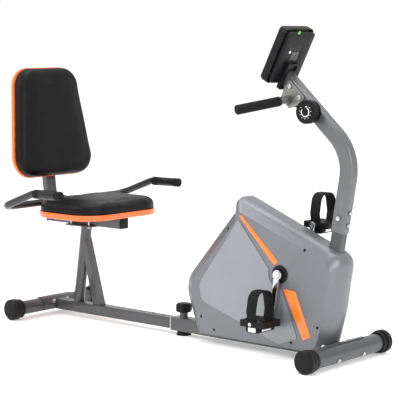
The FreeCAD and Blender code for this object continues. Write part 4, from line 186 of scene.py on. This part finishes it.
def housing_plastic():
    """Silver moulded plastic with painted light: the outboard face of the housing side painted lighter as if lit,
    the border band around it painted darker as shade.
    """
    # painted light: one silver plastic in a lit shade for the outboard face and a shaded one for the border band
    # around it
    lit_panel, shaded_rim = srgb(134, 136, 140), srgb(106, 108, 112)
    finish = Finish("housing_plastic", metallic=0.45, roughness=0.38, coat=0.3, coat_roughness=0.25)
    split = finish.nodes.new("ShaderNodeSeparateXYZ")
    finish.links.new(finish.place, split.inputs["Vector"])
    away = finish.nodes.new("ShaderNodeMath")
    away.operation = "ABSOLUTE"
    finish.links.new(split.outputs["Y"], away.inputs[0])
    # mask of the painted light: 0 on the border band (painted shade), 1 outboard of it (painted lit)
    lit_panel_mask = finish.ranged(away.outputs["Value"], 0, 1, 66.2 * MM, 67.4 * MM)
    painted_light_tone = finish.blend(lit_panel_mask, finish.mottle(shaded_rim, 9, 0.04), finish.mottle(lit_panel, 9, 0.03))
    spark = finish.ranged(finish.cells(2200), 1, 0, 0.0, 0.3)
    finish.colored(finish.blend(spark, painted_light_tone, scaled(lit_panel, 1.25)))
    finish.gloss(22, 0.33, 0.44)
    return finish.relief(finish.noise(900), 0.08, 0.12 * MM).material


def moulded_plastic(name, color, rough=0.45, grain=1400, depth=0.12):
    """Plastic with the fine spark-eroded texture of a mould."""
    shine = DARK_SHINE if max(color[:3]) < 0.05 else 0.5
    finish = Finish(name, roughness=rough, specular=shine)
    finish.colored(finish.mottle(color, 40, 0.12))
    finish.gloss(60, rough - 0.06, rough + 0.08)
    return finish.relief(finish.cells(grain), 0.35, depth * MM).material


def gloss_plastic(name, color, rough=0.26):
    finish = Finish(name, roughness=rough, coat=0.4, coat_roughness=0.08)
    finish.colored(finish.mottle(color, 12, 0.04))
    finish.gloss(30, rough - 0.04, rough + 0.06)
    return finish.relief(finish.noise(500), 0.05, 0.1 * MM).material


def vinyl():
    """Black upholstery vinyl: pebbled grain, soft creases and a semi-gloss skin."""
    color = srgb(12, 12, 13)
    finish = Finish("black_vinyl", roughness=0.36, specular=DARK_SHINE)
    finish.colored(finish.mottle(color, 25, 0.18))
    finish.gloss(45, 0.36, 0.50)
    finish.relief(finish.noise(9, detail=2), 0.10, 1.2 * MM)
    finish.relief(finish.cells(620, "DISTANCE_TO_EDGE"), 0.35, 0.25 * MM)
    return finish.relief(finish.noise(2200), 0.20, 0.06 * MM).material


def foam(name="grip_foam"):
    """Closed-cell foam with an open, dull surface."""
    color = srgb(20, 20, 21)
    finish = Finish(name, roughness=0.88, sheen=0.06, specular=DARK_SHINE)
    finish.colored(finish.mottle(color, 70, 0.25))
    finish.relief(finish.cells(1500), 0.6, 0.3 * MM)
    return finish.relief(finish.noise(180), 0.25, 0.4 * MM).material


def rubber(name, color, rough=0.7):
    finish = Finish(name, roughness=rough, specular=DARK_SHINE)
    finish.colored(finish.mottle(color, 55, 0.2))
    finish.gloss(80, rough - 0.1, rough + 0.08)
    return finish.relief(finish.noise(1100), 0.3, 0.12 * MM).material


def plated(name, color, rough, brush=None):
    """Plated or machined metal; brush stretches its fine marks along one axis."""
    finish = Finish(name, metallic=1.0, roughness=rough)
    finish.colored(finish.mottle(color, 30, 0.06))
    finish.gloss(90, max(0.03, rough - 0.05), rough + 0.10)
    return finish.relief(finish.noise(260, stretch=brush), 0.08, 0.06 * MM).material


def tinted_lens():
    finish = Finish("tinted_lens", roughness=0.08, coat=0.6, coat_roughness=0.03)
    finish.colored(finish.mottle(srgb(46, 54, 50), 18, 0.1))
    return finish.relief(finish.noise(40), 0.02, 0.1 * MM).material


def circuit():
    """Green board with a pattern of cells as its tracks."""
    finish = Finish("circuit_board", roughness=0.45)
    tracks = finish.ranged(finish.cells(160, "DISTANCE_TO_EDGE"), 0, 1, 0.03, 0.06)
    finish.colored(finish.blend(tracks, srgb(150, 140, 70), srgb(24, 84, 44)))
    return finish.relief(tracks, 0.3, 0.1 * MM).material


BRUSH_ALONG_Y = (1, 0.05, 1)
MATERIALS = {
    "frame_paint": metallic_paint("frame_paint", srgb(74, 75, 77)),
    "post_paint": metallic_paint("post_paint", srgb(98, 99, 101)),
    "housing": housing_plastic(),
    "orange_trim": gloss_plastic("orange_trim", srgb(255, 118, 26)),
    "orange_board": gloss_plastic("orange_edge", srgb(252, 106, 38), 0.34),
    "black_plastic": moulded_plastic("black_plastic", srgb(19, 19, 20)),
    "vinyl": vinyl(),
    "foam": foam(),
    "rubber": rubber("black_rubber", srgb(19, 19, 20)),
    "chrome": plated("chrome", srgb(190, 190, 193), 0.12),
    "steel": plated("zinc_steel", srgb(196, 196, 194), 0.28, BRUSH_ALONG_Y),
    "cast_iron": plated("cast_iron", srgb(92, 92, 94), 0.42),
    "nylon": moulded_plastic("nylon", srgb(206, 206, 198), 0.5),
    "console_grey": moulded_plastic("console_shell", srgb(21, 21, 23), 0.42, 1800, 0.08),
    "lens": tinted_lens(),
    "circuit": circuit(),
}
WHITE_PRINT = moulded_plastic("white_print", srgb(232, 232, 230), 0.4)
REFLECTOR = gloss_plastic("white_reflector", srgb(240, 240, 240), 0.15)
GREEN_DOT = gloss_plastic("green_dot", srgb(96, 160, 74), 0.35)
CLAMP_METAL = plated("clamp_metal", srgb(132, 132, 130), 0.36, BRUSH_ALONG_Y)
HANDLE_PAINT = metallic_paint("handle_paint", srgb(40, 40, 42))
DARK_CHROME = plated("dark_chrome", srgb(58, 58, 60), 0.3)
DOOR_PLASTIC = moulded_plastic("door_plastic", srgb(62, 62, 64), 0.42, 1800, 0.08)
SPECIAL = {"handlebar_clamp": CLAMP_METAL, "console_mount": MATERIALS["console_grey"],
           "battery_door": DOOR_PLASTIC, "side_handlebar": HANDLE_PAINT,
           "pulse_sensors": DARK_CHROME}


# ---------------------------------------------------------------------------
# CAD nodes: material, broken edges and smooth shading
# ---------------------------------------------------------------------------
def smooth_by_angle():
    """Node group that smooths every edge flatter than a limit."""
    group = bpy.data.node_groups.new("smooth_by_angle", "GeometryNodeTree")
    for side in ("INPUT", "OUTPUT"):
        group.interface.new_socket("Geometry", in_out=side, socket_type="NodeSocketGeometry")
    nodes, links = group.nodes, group.links
    start, end = nodes.new("NodeGroupInput"), nodes.new("NodeGroupOutput")
    faces, edges = (nodes.new("GeometryNodeSetShadeSmooth") for _ in range(2))
    faces.domain, edges.domain = "FACE", "EDGE"
    angle = nodes.new("GeometryNodeInputMeshEdgeAngle")
    flat = nodes.new("FunctionNodeCompare")
    flat.operation = "LESS_EQUAL"
    flat.inputs["B"].default_value = math.radians(32)
    links.new(angle.outputs["Unsigned Angle"], flat.inputs["A"])
    links.new(start.outputs[0], faces.inputs["Geometry"])
    links.new(faces.outputs["Geometry"], edges.inputs["Geometry"])
    links.new(flat.outputs["Result"], edges.inputs["Shade Smooth"])
    links.new(edges.outputs["Geometry"], end.inputs[0])
    return group


SMOOTH = smooth_by_angle()


def smoothed(obj):
    modifier = obj.modifiers.new("smooth_by_angle", "NODES")
    modifier.node_group = SMOOTH
    return obj


def broken_edges(obj, width, segments=2):
    """Small rounds on the sharp edges, which catch the light as real ones do."""
    weld = obj.modifiers.new("weld", "WELD")
    weld.merge_threshold = 0.01 * MM
    if width > 0:
        bevel = obj.modifiers.new("broken_edges", "BEVEL")
        bevel.width = width
        bevel.segments = segments
        bevel.limit_method = "ANGLE"
        bevel.angle_limit = math.radians(40)
    return smoothed(obj)


EDGE_WIDTHS = {
    "main_frame": 0.8, "front_caps": 1.5, "rear_caps": 1.5, "post": 0.5, "handlebar_clamp": 0.7,
    "console_front": 1.2, "console_back": 1.2, "console_mount": 1.5, "battery_door": 0.8,
    "tension_knob": 1.2, "tension_knob_base": 1.2, "lock_knob": 1.5, "pedal_left": 1.0,
    "pedal_right": 1.0, "strap_left": 0.6, "strap_right": 0.6, "seat_post": 0.6, "seat_tube": 0.6,
    "back_tube": 0.6, "rear_beam": 0.6, "seat_tube_plug": 0.8, "crank_left": 1.5,
    "crank_right": 1.5, "crank_rings": 1.0, "housing_trim": 0.4, "front_bolts": 0.6,
    "rear_bolts": 0.6, "post_bolts": 0.6,
}


def dress_nodes():
    slots = {part["node"]: part["material_slot"] for part in frame["record"]["subparts"]}
    for name, node in NODES.items():
        custom = node.data.attributes.get("custom_normal")
        if custom:
            node.data.attributes.remove(custom)
        node.data.materials.clear()
        node.data.materials.append(SPECIAL.get(name) or MATERIALS[slots[name]])
        broken_edges(node, EDGE_WIDTHS.get(name, 0) * MM)


# ---------------------------------------------------------------------------
# New pieces
# ---------------------------------------------------------------------------
def piece_from(name, mesh_builder, material, body):
    """New piece whose mesh is filled in by mesh_builder and which rides on a CAD body."""
    mesh = bpy.data.meshes.new(name)
    shape = bmesh.new()
    mesh_builder(shape)
    bmesh.ops.recalc_face_normals(shape, faces=shape.faces)
    shape.to_mesh(mesh)
    shape.free()
    mesh.materials.append(material)
    piece = bpy.data.objects.new(name, mesh)
    SCENE.collection.objects.link(piece)
    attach(piece, body)
    return piece


def stuffed(name, node, facing, crown):
    """Cushion swollen by cloth pressure from the CAD solid, flat where it meets its board."""
    mesh = NODES[node].data.copy()
    mesh.name = name
    piece = bpy.data.objects.new(name, mesh)
    SCENE.collection.objects.link(piece)
    remesh = piece.modifiers.new("remesh", "REMESH")
    remesh.mode = "VOXEL"
    remesh.voxel_size = CUSHION_VOXEL
    apply_modifiers(piece)
    heights = [vertex.co.dot(facing) for vertex in piece.data.vertices]
    base = min(heights)
    tuck = 0.5 * MM
    for vertex in piece.data.vertices:
        inward = vertex.normal - facing * vertex.normal.dot(facing)
        vertex.co -= inward * tuck
    held = [index for index, height in enumerate(heights) if height < base + 6 * MM]
    inflate(piece, held, crown)
    settle(piece, facing, base)
    subdivision = piece.modifiers.new("subdivision", "SUBSURF")
    subdivision.levels = subdivision.render_levels = 1
    for polygon in piece.data.polygons:
        polygon.use_smooth = True
    piece.data.materials.clear()
    piece.data.materials.append(MATERIALS["vinyl"])
    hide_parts(node)
    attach(piece, "seat")
    return piece


def apply_modifiers(piece):
    """Replace the mesh by what its modifiers make of it."""
    graph = bpy.context.evaluated_depsgraph_get()
    mesh = bpy.data.meshes.new_from_object(piece.evaluated_get(graph))
    piece.modifiers.clear()
    mesh.name = piece.name
    piece.data = mesh


def inflate(piece, held, reach):
    """Blow the piece up as cloth, and keep each point within reach of where it started."""
    group = piece.vertex_groups.new(name="held")
    group.add(held, 1.0, "REPLACE")
    start = [vertex.co.copy() for vertex in piece.data.vertices]
    cloth = piece.modifiers.new("cloth", "CLOTH")
    settings = cloth.settings
    settings.quality = 5
    settings.mass = 0.2
    settings.tension_stiffness = settings.compression_stiffness = 40
    settings.shear_stiffness = 25
    settings.bending_stiffness = 12
    settings.use_pressure = True
    settings.uniform_pressure_force = CUSHION_PRESSURE
    settings.effector_weights.gravity = 0
    settings.vertex_group_mass = group.name
    cloth.point_cache.frame_start = 1
    cloth.point_cache.frame_end = CUSHION_FRAMES
    for number in range(1, CUSHION_FRAMES + 1):
        SCENE.frame_set(number)
    apply_modifiers(piece)
    shifts = [vertex.co - origin for vertex, origin in zip(piece.data.vertices, start)]
    shifts = [shift * min(1, reach / max(shift.length, 1e-9)) for shift in shifts]
    for vertex, origin, shift in zip(piece.data.vertices, start, evened(piece, shifts)):
        vertex.co = origin + Vector(shift)


def evened(piece, shifts):
    """The swelling averaged over neighbouring points, so that the skin is taut."""
    moves = np.array(shifts)
    ends = np.array([edge.vertices[:] for edge in piece.data.edges])
    count = np.bincount(ends.ravel(), minlength=len(moves))[:, None]
    for _ in range(TAUT_STEPS):
        total = np.zeros_like(moves)
        np.add.at(total, ends[:, 0], moves[ends[:, 1]])
        np.add.at(total, ends[:, 1], moves[ends[:, 0]])
        moves = total / count
    return moves


def settle(piece, facing, base):
    """Nothing reaches below the face that rests on the board."""
    for vertex in piece.data.vertices:
        sunk = base - vertex.co.dot(facing)
        if sunk > 0:
            vertex.co += facing * sunk


def add_block(shape, centre, size, turn=None):
    """Box of the given size about a centre, optionally turned."""
    matrix = Matrix.Translation(centre) @ (turn or Matrix.Identity(3)).to_4x4()
    matrix = matrix @ Matrix.Diagonal((*size, 1))
    bmesh.ops.create_cube(shape, size=1, matrix=matrix)


def add_arc(shape, centre, face_y, radii, span, thick):
    """Flat ring segment standing proud of a face that looks along -Y."""
    steps = max(6, int(abs(span[1] - span[0]) / math.radians(6)))
    rings = []
    for step in range(steps + 1):
        angle = span[0] + (span[1] - span[0]) * step / steps
        direction = Vector((math.cos(angle), 0, math.sin(angle)))
        rings.append([shape.verts.new(centre + direction * radius + Vector((0, y, 0)))
                      for radius, y in ((radii[0], face_y), (radii[1], face_y),
                                        (radii[1], face_y - thick), (radii[0], face_y - thick))])
    for first, second in zip(rings, rings[1:]):
        for corner in range(4):
            after = (corner + 1) % 4
            shape.faces.new((first[corner], first[after], second[after], second[corner]))
    shape.faces.new(rings[0])
    shape.faces.new(rings[-1][::-1])


PRINT_THICK = 0.3 * MM
RING_RADII = (13 * MM, 16 * MM)
RING_SPAN = (math.radians(150), math.radians(420))
TICK_COUNT, TICK_RADIUS, TICK_WIDTH = 9, 21.5 * MM, 1.4 * MM
FIRST_TICK, TICK_STEP = math.radians(140), math.radians(32.5)
ARROW_ANGLE = math.radians(75)


def dial_print():
    """Ring, pointer and tick marks on the face of the tension knob."""
    low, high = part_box("tension_knob")
    pivot = Vector(JOINTS["tension_knob_turn"]["pos_m"])
    face = low.y
    centre = Vector((pivot.x, 0, pivot.z))

    def build(shape):
        add_arc(shape, centre, face, RING_RADII, RING_SPAN, PRINT_THICK)
        lift = Vector((0, face - PRINT_THICK / 2, 0))
        for index in range(TICK_COUNT):
            angle = FIRST_TICK + TICK_STEP * index
            direction = Vector((math.cos(angle), 0, math.sin(angle)))
            spot = centre + direction * TICK_RADIUS + lift
            turn = Matrix.Rotation(-angle, 3, "Y")
            length = (3 + index * 0.3) * MM
            add_block(shape, spot, (length, PRINT_THICK, TICK_WIDTH), turn)
        direction = Vector((math.cos(ARROW_ANGLE), 0, math.sin(ARROW_ANGLE)))
        for sign in (-1, 1):
            across = Vector((-direction.z, 0, direction.x)) * sign * 2.2 * MM
            spot = centre + direction * 17 * MM + across + lift
            turn = Matrix.Rotation(-ARROW_ANGLE + sign * math.radians(35), 3, "Y")
            add_block(shape, spot, (7 * MM, PRINT_THICK, TICK_WIDTH), turn)
    return piece_from("dial_print", build, WHITE_PRINT, "tension_knob")


CLEAT_PLACES = (-3, -2, -1, 1, 2, 3)
CLEAT_PITCH_X, CLEAT_PITCH_Y = 7.6 * MM, 7.2 * MM
PEDAL_ABOVE = 9 * MM                 # from the spindle's axis up to the pedal's top
REFLECTOR_DROP = 19 * MM


def pedal_details(side, body):
    """Tread cleats on top, and reflectors on the outer side and both ends of one pedal."""
    low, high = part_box(body)
    pivot = Vector(JOINTS[body + "_spin"]["pos_m"])
    tag = body.split("_")[1]
    top = pivot.z + PEDAL_ABOVE
    middle = (low.y + high.y) / 2

    def cleats(shape):
        for column, row in itertools.product(CLEAT_PLACES, repeat=2):
            spot = Vector((pivot.x + column * CLEAT_PITCH_X, middle + row * CLEAT_PITCH_Y, top))
            bmesh.ops.create_cone(shape, cap_ends=True, segments=8, radius1=2.2 * MM,
                                  radius2=1.2 * MM, depth=2.4 * MM,
                                  matrix=Matrix.Translation(spot))
    piece = piece_from("pedal_tread_" + tag, cleats, MATERIALS["rubber"], body)
    smoothed(piece)

    def reflectors(shape):
        outer = high.y if side > 0 else low.y
        add_block(shape, Vector((pivot.x, outer - side * 4.4 * MM, pivot.z - REFLECTOR_DROP)),
                  (30 * MM, 2.4 * MM, 15 * MM))
        for end in (-1, 1):
            add_block(shape, Vector((pivot.x + end * 25.6 * MM, middle, pivot.z - REFLECTOR_DROP)),
                      (2.4 * MM, 46 * MM, 11 * MM))
    plate = piece_from("pedal_reflectors_" + tag, reflectors, REFLECTOR, body)
    broken_edges(plate, 0.8 * MM)


def console_details():
    """A white cable jack beside the battery door, and a plain green dot above it."""
    door = NODES["battery_door"].data
    face = max(door.polygons, key=lambda polygon: polygon.area * (polygon.normal.x > 0.3))
    outward, across = face.normal.copy(), Vector((0, 1, 0))
    upward = outward.cross(across)
    for name, material, beside, above, radius in (
            ("cable_jack", WHITE_PRINT, -34 * MM, 3 * MM, 4.5 * MM),
            ("green_dot", GREEN_DOT, -26 * MM, 72 * MM, 6.5 * MM)):
        spot = face.center + across * beside + upward * above + outward * 0.4 * MM
        place = Matrix.Translation(spot) @ outward.to_track_quat("Z", "Y").to_matrix().to_4x4()

        def disc(shape, place=place, radius=radius):
            bmesh.ops.create_cone(shape, cap_ends=True, segments=40, radius1=radius,
                                  radius2=radius * 0.84, depth=1.6 * MM, matrix=place)
        piece_from(name, disc, material, "frame")


def build_pieces():
    dress_nodes()
    stuffed("seat_cushion", "seat_pad", Vector((0, 0, 1)), CROWN)
    stuffed("backrest_cushion", "back_pad",
            Vector((math.cos(BACK_LEAN), 0, math.sin(BACK_LEAN))), CROWN)
    dial_print()
    console_details()
    pedal_details(-1, "pedal_right")
    pedal_details(1, "pedal_left")


# ---------------------------------------------------------------------------
# Studio
# ---------------------------------------------------------------------------
def floor():
    mesh = bpy.data.meshes.new("studio_floor")
    shape = bmesh.new()
    bmesh.ops.create_grid(shape, x_segments=1, y_segments=1, size=40)
    shape.to_mesh(mesh)
    shape.free()
    finish = Finish("studio_floor", roughness=0.6)
    finish.shader.inputs["Emission Color"].default_value = (1, 1, 1, 1)
    finish.shader.inputs["Emission Strength"].default_value = 0.25
    finish.colored(finish.mottle((0.9, 0.9, 0.9, 1), 1, 0.01))
    mesh.materials.append(finish.material)
    item = bpy.data.objects.new("studio_floor", mesh)
    SCENE.collection.objects.link(item)


def soft_light(name, place, target, size, power):
    data = bpy.data.lights.new(name, "AREA")
    data.shape = "RECTANGLE"
    data.size, data.size_y = size
    data.energy = power
    item = bpy.data.objects.new(name, data)
    SCENE.collection.objects.link(item)
    item.location = place
    item.rotation_euler = (Vector(target) - Vector(place)).to_track_quat("-Z", "Y").to_euler()


def studio():
    floor()
    world = bpy.data.worlds.new("studio_world")
    world.use_nodes = True
    background = world.node_tree.nodes["Background"]
    background.inputs["Color"].default_value = (1, 1, 1, 1)
    background.inputs["Strength"].default_value = 1.0
    SCENE.world = world
    middle = (0, 0, 0.5)
    soft_light("key", (-1.6, -3.4, 3.2), middle, (2.4, 2.0), 90)
    soft_light("front", (3.6, -1.2, 1.6), middle, (1.8, 2.2), 45)
    soft_light("top", (0.2, 0.4, 3.8), middle, (3.0, 2.0), 70)
    SCENE.view_settings.view_transform = "Standard"


def camera():
    """Long lens in front of the bike, to its right and a little above."""
    azimuth, elevation, roll = (math.radians(a) for a in (40.07, 6.585, 0.25))
    forward = Vector((-math.sin(azimuth) * math.cos(elevation),
                      math.cos(azimuth) * math.cos(elevation), -math.sin(elevation)))
    level = Vector((math.cos(azimuth), math.sin(azimuth), 0))
    upward = level.cross(forward)
    right = level * math.cos(roll) + upward * math.sin(roll)
    up = right.cross(forward)
    data = bpy.data.cameras.new("camera")
    data.lens = 135
    data.sensor_width = 36
    item = bpy.data.objects.new("camera", data)
    turn = Matrix((right, up, -forward)).transposed().to_4x4()
    item.matrix_world = Matrix.Translation((3.3538, -3.9031, 1.0670)) @ turn
    SCENE.collection.objects.link(item)
    SCENE.camera = item


build_pieces()
studio()
camera()
